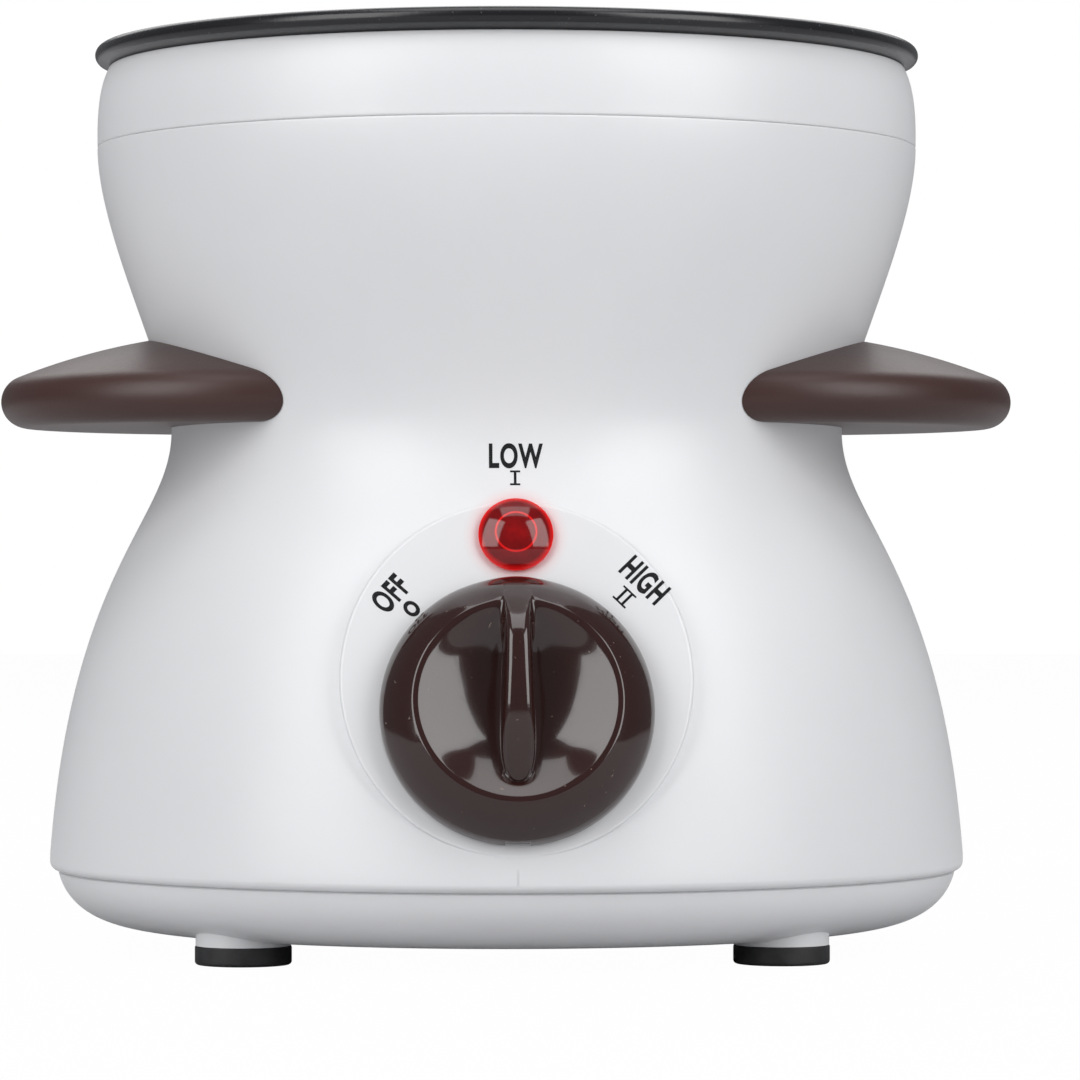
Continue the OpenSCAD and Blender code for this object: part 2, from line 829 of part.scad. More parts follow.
module lens_retainer() {
    color("gray")
    at_dial(lens_rise) translate([0, 0, -dial_wall - retainer_h])
        difference() {
            cylinder(r = retainer_r, h = retainer_h);
            translate([0, 0, -over]) cylinder(r = lens_stem_r + fit_gap, h = retainer_h + 2 * over);
        }
}

module neon_lamp() {
    tip_z = lens_rim_h - seat_gap - lamp_r;
    color("orange")
    at_dial(lens_rise) {
        translate([0, 0, tip_z - lamp_l]) cylinder(r = lamp_r, h = lamp_l);
        translate([0, 0, tip_z]) sphere(r = lamp_r);
    }
}

// rotary switch behind the dial face, with its blades
module switch_body() {
    face = -dial_wall - stand_h;
    color("#303030")
    at_dial(-knob_drop)
    difference() {
        union() {
            translate([-switch_w / 2, -switch_side_h / 2, face - switch_h]) cube([switch_w, switch_side_h, switch_h]);
            for (x = [-1, 0, 1])
                translate([x * switch_w / 3 - blade_w / 2, -blade_t / 2, face - switch_h - blade_h])
                    cube([blade_w, blade_t, blade_h]);
        }
        translate([0, 0, face - shaft_tail - seat_gap]) cylinder(r = shaft_r + run_gap, h = shaft_tail + over);
        for (side = [-1, 1])
            translate([side * switch_screw_place, 0, face - switch_screw_l])
                cylinder(r = small_screw_r + fit_gap, h = switch_screw_l + over);
    }
}

module switch_screws() {
    color("silver")
    at_dial(-knob_drop)
        for (side = [-1, 1])
            translate([side * switch_screw_place, 0, -small_head_h]) rotate([180, 0, 0])
                screw(small_screw_r, small_head_r, small_head_h, switch_screw_l);
}

// rubber bush in the wall: flange outside, neck in the hole, lip inside
module cord_bush() {
    neck_l = wall + bush_lip_gap;
    color("black")
    difference() {
        union() {
            difference() {
                at_inlet() translate([0, 0, -wall]) cylinder(r = bush_flange_r, h = wall + bush_flange_h);
                housing_form(-fit_gap);
            }
            at_inlet() translate([0, 0, -neck_l]) cylinder(r = bush_neck_r, h = neck_l + bush_flange_h);
            at_inlet() translate([0, 0, -neck_l - bush_lip_h]) cylinder(r = bush_lip_r, h = bush_lip_h);
        }
        at_inlet() translate([0, 0, -neck_l - bush_lip_h - over])
            cylinder(r = inlet_bore_r, h = neck_l + bush_lip_h + bush_flange_h + 2 * over);
    }
}

module terminal_block() {
    color("white")
    translate([block_x, block_y, block_z + block_stand_h])
    difference() {
        translate([-block_l / 2, -block_w / 2, 0]) cube([block_l, block_w, block_h]);
        for (side = [-1, 1])
            translate([side * block_pitch, 0, -over]) cylinder(r = small_screw_r + fit_gap, h = block_h + 2 * over);
        for (side = [-1, 1])
            translate([side * block_pitch / 2, -block_w / 2 - over, block_h / 2]) rotate([-90, 0, 0])
                cylinder(r = block_hole_r, h = block_w / 3 + over);
    }
}

module terminal_screws() {
    color("silver")
    translate([block_x, block_y, block_z + block_stand_h + block_h])
        for (side = [-1, 1])
            translate([side * block_pitch, 0, 0]) rotate([180, 0, 0])
                screw(small_screw_r, small_head_r, small_head_h, block_h + block_stand_h);
}

module shaft_form(gap, low, high) {
    intersection() {
        translate([0, 0, low]) cylinder(r = shaft_r + gap, h = high - low);
        translate([-knob_r, -knob_r, low]) cube([2 * knob_r, knob_r + shaft_flat + gap, high - low]);
    }
}

// shaft with a flat where the knob sits
module switch_shaft() {
    face = -dial_wall - stand_h;
    color("silver")
    at_dial(-knob_drop) {
        translate([0, 0, face - shaft_tail]) cylinder(r = shaft_r, h = shaft_tail);
        shaft_form(0, face, bowl_z - bowl_floor - seat_gap);
    }
}

// outline of the knob's front, from the middle of its bowl out to the top of its skirt
bowl_z = knob_ring_h - bowl_depth;
bowl_r = (knob_ring_r * knob_ring_r + bowl_depth * bowl_depth) / (2 * bowl_depth);
bowl_turn = asin(knob_ring_r / bowl_r);
shoulder_w = knob_r - knob_ring_r - knob_lip;
shoulder_h = knob_ring_h - knob_skirt_h;
bowl = arc([0, bowl_z + bowl_r], bowl_r, -quarter, bowl_turn - quarter, round_steps);
shoulder = [
    for (i = [0 : round_steps + 1])
        let (a = quarter * (1 - i / (round_steps + 1)))
            [knob_ring_r + knob_lip + shoulder_w * cos(a), knob_skirt_h + shoulder_h * sin(a)]];

// ribs under the bowl, between the hub and the skirt
module knob_ribs() {
    rib_z = knob_lift + knob_rib_up;
    intersection() {
        for (i = [0 : knob_rib_count - 1])
            rotate([0, 0, (i + 1 / 2) * 4 * quarter / knob_rib_count])
                translate([hub_r - knob_rib_w, -knob_rib_w / 2, rib_z])
                    cube([knob_r - hub_r, knob_rib_w, knob_ring_h - rib_z]);
        rotate_extrude()
            polygon(concat([for (p = bowl) p - [0, bowl_floor / 2]], shoulder, [[knob_r, rib_z], [0, rib_z]]));
    }
}

// the knob from the middle of its bowl out to the skirt and back under
module knob_shell() {
    under = [for (p = backwards(bowl)) if (p[0] > hub_r) p - [0, bowl_floor]];
    rotate_extrude()
        polygon(concat(
            bowl,
            shoulder,
            [[knob_r, knob_lift], [knob_r - knob_wall, knob_lift]],
            [[knob_r - knob_wall, knob_skirt_h]],
            under,
            [[hub_r, bowl_z - bowl_floor], [hub_r, -hub_h], [0, -hub_h]]));
}

// the grip reaches half way over the flat edge between shoulder and bowl
grip_reach = knob_ring_r + knob_lip / 2;

// the grip seen from above: narrow at the pointer, wide and round at the other end
module grip_plan() {
    top_r = grip_top_w / 2;
    end_r = grip_end_w / 2;
    polygon([[-top_r, grip_reach], [-end_r, -grip_end_place], [end_r, -grip_end_place], [top_r, grip_reach]]);
    translate([0, -grip_end_place]) circle(r = end_r);
}

// the grip seen from the side: an arch over the bowl
module grip_side() {
    rise = grip_h - knob_ring_h + grip_foot_drop;
    arch_r = (grip_reach * grip_reach + rise * rise) / (2 * rise);
    intersection() {
        translate([-grip_reach, grip_root_h]) square([2 * grip_reach, grip_h]);
        translate([0, grip_h - arch_r]) circle(r = arch_r);
    }
}

module knob() {
    color("#40261f")
    at_dial(-knob_drop)
    difference() {
        union() {
            knob_shell();
            knob_ribs();
            intersection() {
                translate([0, 0, grip_root_h]) linear_extrude(grip_h) grip_plan();
                translate([-knob_r, 0, 0]) rotate([90, 0, 90]) linear_extrude(2 * knob_r) grip_side();
            }
        }
        shaft_form(fit_gap, -hub_h - over, bowl_z - bowl_floor);
        translate([-gate_w / 2, -knob_r - over, 0]) cube([gate_w, over + gate_depth, knob_skirt_h]);
    }
}

// open spring band round the knob's hub
module knob_clip() {
    color("silver")
    at_dial(-knob_drop) translate([0, 0, -hub_h])
        difference() {
            cylinder(r = hub_r + fit_gap + clip_t, h = clip_h);
            translate([0, 0, -over]) cylinder(r = hub_r + fit_gap, h = clip_h + 2 * over);
            translate([-clip_slot / 2, 0, -over]) cube([clip_slot, 2 * hub_r, clip_h + 2 * over]);
        }
}

// the fondue bowl: a rolled rim over the collar, a smooth side and a flat bottom
module pot() {
    edge_r = (rim_r - collar_r) * 2 / 3;
    inner = beside(pot_side, -pot_wall);
    roll_r = collar_bore_r - inner[len(inner) - 1][0];
    color("#202020")
    rotate_extrude()
        polygon(concat(
            [[0, pot_z]],
            pot_side,
            [[collar_r - seam_chamfer, rim_z]],
            arc([rim_r - edge_r, rim_z + rim_h - edge_r], edge_r, rim_turn, 0, round_steps),
            after_first(arc([rim_r - edge_r, rim_z + rim_h - edge_r], edge_r, 0, quarter, round_steps)),
            arc([collar_bore_r, rim_z + rim_h - roll_r], roll_r, quarter, 2 * quarter, round_steps),
            after_first(backwards(inner)),
            [[0, pot_z + pot_wall]]));
}

housing();
collar();
base_pan();
foot_pad_front_left();
foot_pad_front_right();
foot_pad_rear_left();
foot_pad_rear_right();
base_screws();
handle_left();
handle_right();
handle_screws();
liner();
heating_plate();
heater_element();
heater_clamp();
heater_nuts();
thermostat();
thermostat_screws();
thermal_fuse();
fuse_strap();
indicator_lens();
lens_retainer();
neon_lamp();
switch_body();
switch_screws();
cord_bush();
terminal_block();
terminal_screws();
knob();
knob_clip();
switch_shaft();
pot();
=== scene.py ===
"""Dresses an electric fondue pot: a white housing, a dial with its knob, two handles and a loose pot."""

import logging
import math
from collections import defaultdict
from collections.abc import Callable, Iterator, Sequence
from contextlib import contextmanager
from dataclasses import dataclass, field, replace
from enum import Enum
from functools import cached_property
from typing import Any

import bpy
from mathutils import Matrix, Vector


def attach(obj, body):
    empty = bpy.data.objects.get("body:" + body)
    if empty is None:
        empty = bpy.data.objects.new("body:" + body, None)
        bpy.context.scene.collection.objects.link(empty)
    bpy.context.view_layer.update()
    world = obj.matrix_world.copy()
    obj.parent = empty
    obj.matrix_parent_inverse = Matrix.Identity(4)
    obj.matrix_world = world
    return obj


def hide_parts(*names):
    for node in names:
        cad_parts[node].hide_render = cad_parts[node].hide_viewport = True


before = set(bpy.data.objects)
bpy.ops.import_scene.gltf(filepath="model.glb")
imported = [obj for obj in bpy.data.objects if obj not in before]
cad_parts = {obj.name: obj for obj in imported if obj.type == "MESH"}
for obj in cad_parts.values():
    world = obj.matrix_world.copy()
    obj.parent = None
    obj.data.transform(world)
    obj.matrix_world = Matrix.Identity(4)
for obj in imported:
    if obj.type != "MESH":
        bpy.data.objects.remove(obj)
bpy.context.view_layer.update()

log = logging.getLogger("fondue_pot")

MM = 0.001
WELD = 0.001 * MM
LATHE_STEPS = 256
SMOOTH_ANGLE = math.radians(32)
EDGE_STEPS = 4
SMALL_STEPS = 96

Point = tuple[float, float]
Colour = tuple[float, float, float]
Thing = bpy.types.Object


class Body(Enum):
    """The bodies that a piece can ride on."""

    BASE = "base"
    KNOB = "control_knob"
    POT = "pot"


class Slot(Enum):
    """The record's material slots."""

    WHITE_PLASTIC = "white_plastic"
    BROWN_SATIN = "brown_satin"
    BROWN_GLOSS = "brown_gloss"
    BLACK_RUBBER = "black_rubber"
    BLACK_COATING = "black_coating"
    BARE_ALUMINIUM = "bare_aluminium"
    STEEL = "steel"
    MICA = "mica"
    RED_LENS = "red_lens"
    LAMP_GLASS = "lamp_glass"
    BLACK_PLASTIC = "black_plastic"


class Cut(Enum):
    """What a tool does to the piece that it meets."""

    ADD = "UNION"
    REMOVE = "DIFFERENCE"
    KEEP_INSIDE = "INTERSECT"


# Outlines: points (radius, height) or (x, y), in metres


def bezier(a: Point, b: Point, c: Point, d: Point, steps: int) -> list[Point]:
    """Points along a cubic curve.

    Args:
        a: Where the curve starts.
        b: The point that it leaves towards.
        c: The point that it arrives from.
        d: Where it ends.
        steps: How many stretches it is divided into.

    Returns:
        The points, with both ends.
    """
    weights = [(i / steps, 1 - i / steps) for i in range(steps + 1)]
    return [
        tuple(p * u**3 + 3 * q * t * u * u + 3 * r * t * t * u + s * t**3 for p, q, r, s in zip(a, b, c, d))
        for t, u in weights
    ]


def arc(centre: Point, radius: float, start: float, end: float, steps: int) -> list[Point]:
    """Points along part of a circle.

    Args:
        centre: The middle of the circle.
        radius: Its radius.
        start: The angle of the first point, in degrees.
        end: The angle of the last point, in degrees.
        steps: How many stretches it is divided into.

    Returns:
        The points, with both ends.
    """
    turns = [math.radians(start + (end - start) * i / steps) for i in range(steps + 1)]
    return [(centre[0] + radius * math.cos(t), centre[1] + radius * math.sin(t)) for t in turns]


def beside(path: Sequence[Point], distance: float) -> list[Point]:
    """The path moved to its right, square to its own run.

    Args:
        path: The points to start from.
        distance: How far each of them moves.

    Returns:
        As many points as the path has.
    """
    moved = []
    for i, (r, z) in enumerate(path):
        before, after = path[max(i - 1, 0)], path[min(i + 1, len(path) - 1)]
        run, rise = after[0] - before[0], after[1] - before[1]
        length = math.hypot(run, rise)
        moved.append((r + distance * rise / length, z - distance * run / length))
    return moved


def radius_at(path: Sequence[Point], height: float) -> float:
    """The radius of a rising outline at a height, between its two nearest points.

    Args:
        path: The outline's points, upwards.
        height: The height.

    Returns:
        The radius.
    """
    for (r, z), (next_r, next_z) in zip(path, path[1:]):
        if z <= height <= next_z:
            return r + (next_r - r) * (height - z) / (next_z - z)
    return path[-1][0]


# Modelling by hand


def select_only(thing: Thing) -> None:
    """Selects one object and makes it the active one."""
    bpy.ops.object.select_all(action="DESELECT")
    thing.select_set(True)
    bpy.context.view_layer.objects.active = thing


@contextmanager
def editing(thing: Thing, mode: str = "VERT") -> Iterator[None]:
    """Opens a piece in edit mode for the length of a with block.

    Args:
        thing: The piece to edit.
        mode: What is selected in it: VERT, EDGE or FACE.

    Yields:
        Nothing.
    """
    select_only(thing)
    bpy.ops.object.mode_set(mode="EDIT")
    bpy.ops.mesh.select_mode(type=mode)
    yield
    bpy.ops.object.mode_set(mode="OBJECT")


def new_piece(name: str) -> Thing:
    """Names the object that a primitive operator has just made."""
    thing = bpy.context.active_object
    thing.name = thing.data.name = name
    return thing


def pick(thing: Thing, kind: str, wanted: Sequence[bool]) -> None:
    """Selects some vertices, edges or faces of a piece, and nothing else.

    Args:
        thing: The piece.
        kind: One of vertices, edges and polygons.
        wanted: Whether each of that kind is selected.
    """
    for each in ("vertices", "edges", "polygons"):
        parts = getattr(thing.data, each)
        parts.foreach_set("select", wanted if each == kind else [False] * len(parts))


def pick_edges(thing: Thing, wanted: Callable[[Vector, Vector], bool]) -> None:
    """Selects the edges whose two ends pass a test, and nothing else.

    Args:
        thing: The piece.
        wanted: The test, given an edge's two ends.
    """
    places = [v.co for v in thing.data.vertices]
    pick(thing, "edges", [wanted(*(places[end] for end in e.vertices)) for e in thing.data.edges])


def weld(thing: Thing) -> None:
    """Merges doubles and turns every face outwards.

    Args:
        thing: The piece.
    """
    with editing(thing):
        bpy.ops.mesh.select_all(action="SELECT")
        bpy.ops.mesh.remove_doubles(threshold=WELD)
        bpy.ops.mesh.normals_make_consistent(inside=False)


def lathe(name: str, outline: Sequence[Point], steps: int = LATHE_STEPS) -> Thing:
    """Turns an outline round the upright axis.

    Args:
        name: The piece's name.
        outline: Radius and height of each point. It is closed, or starts and ends on the axis.
        steps: How many stretches a full turn has.

    Returns:
        The closed piece.
    """
    bpy.ops.object.select_all(action="DESELECT")
    bpy.ops.mesh.primitive_plane_add(size=MM)
    thing = new_piece(name)
    with editing(thing):
        bpy.ops.mesh.select_all(action="SELECT")
        bpy.ops.mesh.merge(type="CENTER")
        bpy.ops.transform.translate(value=(outline[0][0], 0, outline[0][1]))
        for (r, z), (next_r, next_z) in zip(outline, outline[1:]):
            bpy.ops.mesh.extrude_region_move(TRANSFORM_OT_translate={"value": (next_r - r, 0, next_z - z)})
        bpy.ops.mesh.select_all(action="SELECT")
        bpy.ops.mesh.spin(steps=steps, angle=math.tau, center=(0, 0, 0), axis=(0, 0, 1))
    weld(thing)
    return thing


def rod(name: str, radius: float, low: Vector, high: Vector, sides: int = 64) -> Thing:
    """A round bar between two points.

    Args:
        name: The piece's name.
        radius: Its radius.
        low: The middle of one end.
        high: The middle of the other end.
        sides: How many sides it has.

    Returns:
        The bar, with its place in its mesh.
    """
    way = high - low
    bpy.ops.object.select_all(action="DESELECT")
    bpy.ops.mesh.primitive_cylinder_add(
        vertices=sides,
        radius=radius,
        depth=way.length,
        location=(low + high) / 2,
        rotation=way.to_track_quat("Z", "Y").to_euler(),
    )
    thing = new_piece(name)
    settle(thing)
    return thing


def block(name: str, middle: Sequence[float], size: Sequence[float]) -> Thing:
    """A box with its sides along the axes.

    Args:
        name: The piece's name.
        middle: Where its middle lies.
        size: How long it is along each axis.

    Returns:
        The box, with its place in its mesh.
    """
    bpy.ops.object.select_all(action="DESELECT")
    bpy.ops.mesh.primitive_cube_add(size=1, location=middle, scale=size)
    thing = new_piece(name)
    settle(thing)
    return thing


def settle(thing: Thing, matrix: Matrix | None = None) -> None:
    """Moves a piece, if a matrix is given, and puts its place into its mesh.

    Args:
        thing: The piece.
        matrix: The move, or None.
    """
    if matrix is not None:
        thing.matrix_world = matrix @ thing.matrix_world
    select_only(thing)
    bpy.ops.object.transform_apply(location=True, rotation=True, scale=True)


def copy_of(thing: Thing, name: str) -> Thing:
    """A copy of a piece with its own mesh."""
    select_only(thing)
    bpy.ops.object.duplicate(linked=False)
    return new_piece(name)


def apply_modifier(thing: Thing, kind: str, **settings: Any) -> None:
    """Adds a modifier and applies it.

    Args:
        thing: The piece to change.
        kind: The modifier's type.
        settings: Its properties.
    """
    select_only(thing)
    modifier = thing.modifiers.new(kind.title(), kind)
    for key, value in settings.items():
        setattr(modifier, key, value)
    bpy.ops.object.modifier_apply(modifier=modifier.name)


def combine(piece: Thing, tool: Thing, cut: Cut) -> None:
    """Adds a tool to a piece or cuts the piece with it, and removes the tool."""
    apply_modifier(piece, "BOOLEAN", operation=cut.value, object=tool, solver="EXACT")
    bpy.data.objects.remove(tool)


def slice_off(thing: Thing, place: Vector, direction: Vector, ahead: bool = True) -> None:
    """Cuts a closed piece along a plane, takes one side away and closes it.

    Args:
        thing: The piece to cut.
        place: A point of the plane.
        direction: Square to the plane.
        ahead: Whether the side ahead goes, or else the side behind.
    """
    with editing(thing):
        bpy.ops.mesh.select_all(action="SELECT")
        bpy.ops.mesh.bisect(
            plane_co=place,
            plane_no=direction,
            use_fill=True,
            clear_outer=ahead,
            clear_inner=not ahead,
        )


def smooth(thing: Thing, angle: float = SMOOTH_ANGLE) -> None:
    """Shades a piece smooth, but for its edges sharper than an angle, and keeps its large faces flat."""
    select_only(thing)
    bpy.ops.object.shade_smooth_by_angle(angle=angle)
    apply_modifier(thing, "WEIGHTED_NORMAL", keep_sharp=True)


def crease(thing: Thing, wanted: Callable[[Vector, Vector], bool], amount: float) -> None:
    """Creases the edges whose two ends pass a test, for a later subdivision."""
    pick_edges(thing, wanted)
    with editing(thing, "EDGE"):
        bpy.ops.transform.edge_crease(value=amount)


# Shader maths


def joined(operation: str, swapped: bool = False) -> Callable[..., "Signal"]:
    """Makes the method behind one operator of a signal.

    Args:
        operation: The Math node's operation.
        swapped: Whether the other value comes first.

    Returns:
        A method that adds the node and returns its output.
    """

    def method(self: "Signal", other: "Signal | float" = 0.0) -> "Signal":
        """The two values joined in one Math node."""
        first, second = (other, self) if swapped else (self, other)
        return self.tree.node("ShaderNodeMath", {"operation": operation}, {0: first, 1: second})

    return method


class Signal:
    """A shader socket that Python's operators combine through Math nodes."""

    __add__ = joined("ADD")
    __radd__ = joined("ADD", swapped=True)
    __sub__ = joined("SUBTRACT")
    __rsub__ = joined("SUBTRACT", swapped=True)
    __mul__ = joined("MULTIPLY")
    __rmul__ = joined("MULTIPLY", swapped=True)
    __truediv__ = joined("DIVIDE")
    __rtruediv__ = joined("DIVIDE", swapped=True)
    __pow__ = joined("POWER")
    __lt__ = joined("LESS_THAN")
    __abs__ = joined("ABSOLUTE")
    greatest = joined("MAXIMUM")

    def __init__(self, tree: "ShaderTree", socket: bpy.types.NodeSocket) -> None:
        """Wraps one output socket of a tree."""
        self.tree = tree
        self.socket = socket


class ShaderTree:
    """The node tree of a material or a world."""

    def __init__(self, owner: bpy.types.Material | bpy.types.World) -> None:
        """Empties the owner's tree.

        Args:
            owner: The material or the world.
        """
        owner.use_nodes = True
        self.owner = owner
        self.nodes = owner.node_tree.nodes
        self.links = owner.node_tree.links
        self.nodes.clear()

    @cached_property
    def place(self) -> Signal:
        """The object's own coordinates."""
        return self.node("ShaderNodeTexCoord", output="Object")

    def node(
        self,
        kind: str,
        settings: dict[str, Any] | None = None,
        inputs: dict[int | str, Any] | None = None,
        output: int | str = 0,
    ) -> Signal:
        """Adds any node.

        Args:
            kind: The node's type.
            settings: Its properties, set before its sockets.
            inputs: A value or a signal for each socket, by name or number.
            output: Which of its outputs is returned.

        Returns:
            That output as a signal.
        """
        made = self.nodes.new(kind)
        for key, value in (settings or {}).items():
            setattr(made, key, value)
        for key, value in (inputs or {}).items():
            if isinstance(value, Signal):
                self.links.new(value.socket, made.inputs[key])
            else:
                made.inputs[key].default_value = value
        return Signal(self, made.outputs[output])

    def noise(self, size: float, detail: float = 2.0, place: Signal | None = None) -> Signal:
        """Noise from 0 to 1 whose clouds are about as wide as size, in metres."""
        return self.node(
            "ShaderNodeTexNoise", None, {"Vector": place or self.place, "Scale": 1 / size, "Detail": detail}
        )

    def spread(
        self, signal: Signal, low: float, high: float, at_low: float = 0.0, at_high: float = 1.0
    ) -> Signal:
        """The signal stretched from one range to another, and held within it.

        Args:
            signal: The signal.
            low: Start of its range.
            high: End of its range.
            at_low: What it becomes at the start.
            at_high: What it becomes at the end.

        Returns:
            The new signal.
        """
        return self.node(
            "ShaderNodeMapRange",
            {"clamp": True},
            {"Value": signal, "From Min": low, "From Max": high, "To Min": at_low, "To Max": at_high},
        )

    def blend(self, factor: Signal, first: Colour | Signal, second: Colour | Signal) -> Signal:
        """A colour between two others.

        Args:
            factor: How much of the second colour.
            first: The colour at 0.
            second: The colour at 1.

        Returns:
            The colour.
        """
        ends = {6: first, 7: second}
        for key, value in ends.items():
            if not isinstance(value, Signal):
                ends[key] = (*value, 1.0)
        return self.node("ShaderNodeMix", {"data_type": "RGBA"}, {0: factor, **ends}, output=2)

    def axis(self, name: str) -> Signal:
        """One of the object's coordinates: X, Y or Z."""
        return self.node("ShaderNodeSeparateXYZ", None, {0: self.place}, output=name)

    def away_from(self, point: Vector, direction: Vector) -> Signal:
        """The distance from a line through a point."""
        offset = self.node("ShaderNodeVectorMath", {"operation": "SUBTRACT"}, {0: self.place, 1: point})
        across = self.node("ShaderNodeVectorMath", {"operation": "CROSS_PRODUCT"}, {0: offset, 1: direction})
        return self.node("ShaderNodeVectorMath", {"operation": "LENGTH"}, {0: across}, output="Value")

    def bump(self, height: Signal, depth: float) -> Signal:
        """Normals of a relief whose full height is depth, in metres."""
        return self.node("ShaderNodeBump", None, {"Strength": 1.0, "Distance": depth, "Height": height})

    def end(self, shader: Signal) -> None:
        """Links a shader to the tree's output."""
        kind = "World" if isinstance(self.owner, bpy.types.World) else "Material"
        output = self.nodes.new(f"ShaderNodeOutput{kind}")
        self.links.new(shader.socket, output.inputs["Surface"])


# Finishes


@dataclass(frozen=True, eq=False)
class Finish:
    """What a surface is made of."""

    slot: Slot

    def sockets(self, tree: ShaderTree) -> dict[str, Any]:
        """A value or a signal for each socket that it sets, with underscores for spaces.

        Args:
            tree: The material's tree.

        Returns:
            The values by socket.
        """
        raise NotImplementedError

    def material(self) -> bpy.types.Material:
        """Makes the material."""
        tree = ShaderTree(bpy.data.materials.new(self.slot.value))
        sockets = {key.replace("_", " "): value for key, value in self.sockets(tree).items()}
        tree.end(tree.node("ShaderNodeBsdfPrincipled", None, sockets))
        return tree.owner


@dataclass(frozen=True, eq=False)
class PaintedGlow:
    """Red light from a lens, painted into the colour of the plastic round its foot: a painted glow."""

    centre: Vector
    direction: Vector
    start_r: float
    end_r: float
    colour: Colour = (0.9, 0.16, 0.16)
    strength: float = 0.3

    def paint_glow(self, tree: ShaderTree, colour: Signal) -> Signal:
        """The plastic's colour with the lens's light painted on its front, weaker away from the lens."""
        reach = tree.away_from(self.centre, self.direction)
        near = tree.spread(reach, self.start_r, self.end_r, 1.0, 0.0)
        return tree.blend(near**2 * self.strength * (tree.axis("Y") < 0.0), colour, self.colour)


@dataclass(frozen=True, eq=False)
class Moulding(Finish):
    """Moulded plastic: a fine spark texture, faint clouds in its colour, and a lens's glow painted into the
    colour if it has one.
    """

    colour: Colour
    cloud: Colour
    roughness: float
    grain: float = 0.35 * MM
    grain_depth: float = 0.006 * MM
    cloud_size: float = 30 * MM
    cloud_range: tuple[float, float] = (0.35, 0.7)
    swell_size: float = 9 * MM
    swell_share: float = 4.0
    uneven: float = 0.08
    painted_glow: PaintedGlow | None = None

    def sockets(self, tree: ShaderTree) -> dict[str, Any]:
        """Clouds in the colour, and grain on a slow swell.

        Args:
            tree: The material's tree.

        Returns:
            The values by socket.
        """
        clouds = tree.spread(tree.noise(self.cloud_size, detail=4.0), *self.cloud_range)
        colour = tree.blend(clouds, self.colour, self.cloud)
        # Painted glow: red from the lens is mixed into the base colour round it.
        if self.painted_glow:
            colour = self.painted_glow.paint_glow(tree, colour)
        grain = tree.noise(self.grain, detail=3.0)
        swell = tree.noise(self.swell_size, detail=1.0)
        return dict(
            Base_Color=colour,
            Roughness=self.roughness - self.uneven / 2 + self.uneven * grain,
            Normal=tree.bump(grain + self.swell_share * swell, self.grain_depth),
        )


@dataclass(frozen=True, eq=False)
class Polish(Finish):
    """Polished plastic: a deep gloss with faint ripples, fine scratches and a few specks of dust."""

    colour: Colour
    speck: Colour
    roughness: float
    speck_size: float = 0.8 * MM
    speck_range: tuple[float, float] = (0.735, 0.76)
    speck_dull: float = 0.3
    scratch_size: float = 2.2 * MM
    scratch_range: tuple[float, float] = (0.62, 0.7)
    scratch_dull: float = 0.05
    scratch_stretch: float = 9
    ripple_size: float = 6 * MM
    ripple_depth: float = 0.05 * MM
    coat: float = 0.45
    coat_roughness: float = 0.03

    def sockets(self, tree: ShaderTree) -> dict[str, Any]:
        """Specks in the colour, scratches in the gloss, and ripples under a thin coat.

        Args:
            tree: The material's tree.

        Returns:
            The values by socket.
        """
        specks = tree.spread(tree.noise(self.speck_size), *self.speck_range)
        stretched = {"Vector": tree.place, "Scale": (1, self.scratch_stretch, 1)}
        place = tree.node("ShaderNodeMapping", None, stretched)
        scratches = tree.spread(tree.noise(self.scratch_size, 6.0, place), *self.scratch_range)
        return dict(
            Base_Color=tree.blend(specks, self.colour, self.speck),
            Roughness=self.roughness + self.scratch_dull * scratches + self.speck_dull * specks,
            Coat_Weight=self.coat,
            Coat_Roughness=self.coat_roughness,
            Normal=tree.bump(tree.noise(self.ripple_size, detail=1.0), self.ripple_depth),
        )


@dataclass(frozen=True, eq=False)
class Rubber(Finish):
    """Soft black rubber with a matt, slightly dusty skin."""

    colour: Colour
    dust: Colour
    roughness: float = 0.55
    dust_size: float = 2.5 * MM
    dust_range: tuple[float, float] = (0.5, 0.8)
    dust_dull: float = 0.25
    pore_size: float = 0.25 * MM
    pore_depth: float = 0.02 * MM

    def sockets(self, tree: ShaderTree) -> dict[str, Any]:
        """Dust in the colour, and pores.

        Args:
            tree: The material's tree.

        Returns:
            The values by socket.
        """
        dust = tree.spread(tree.noise(self.dust_size, detail=5.0), *self.dust_range)
        return dict(
            Base_Color=tree.blend(dust, self.colour, self.dust),
            Roughness=self.roughness + self.dust_dull * dust,
            Normal=tree.bump(tree.noise(self.pore_size), self.pore_depth),
        )


@dataclass(frozen=True, eq=False)
class Coating(Finish):
    """Black non-stick coating over spun metal: fine orange peel and small pale flecks."""

    colour: Colour
    fleck: Colour
    roughness: float = 0.2
    fleck_size: float = 0.45 * MM
    fleck_range: tuple[float, float] = (0.72, 0.78)
    uneven: float = 0.1
    peel_size: float = 0.7 * MM
    peel_depth: float = 0.012 * MM
    broad_size: float = 14 * MM

    def sockets(self, tree: ShaderTree) -> dict[str, Any]:
        """Flecks in the colour, an uneven gloss, and orange peel.

        Args:
            tree: The material's tree.

        Returns:
            The values by socket.
        """
        flecks = tree.spread(tree.noise(self.fleck_size, detail=1.0), *self.fleck_range)
        broad = tree.noise(self.broad_size)
        return dict(
            Base_Color=tree.blend(flecks, self.colour, self.fleck),
            Roughness=self.roughness + self.uneven * broad + self.uneven * flecks,
            Normal=tree.bump(tree.noise(self.peel_size), self.peel_depth),
        )


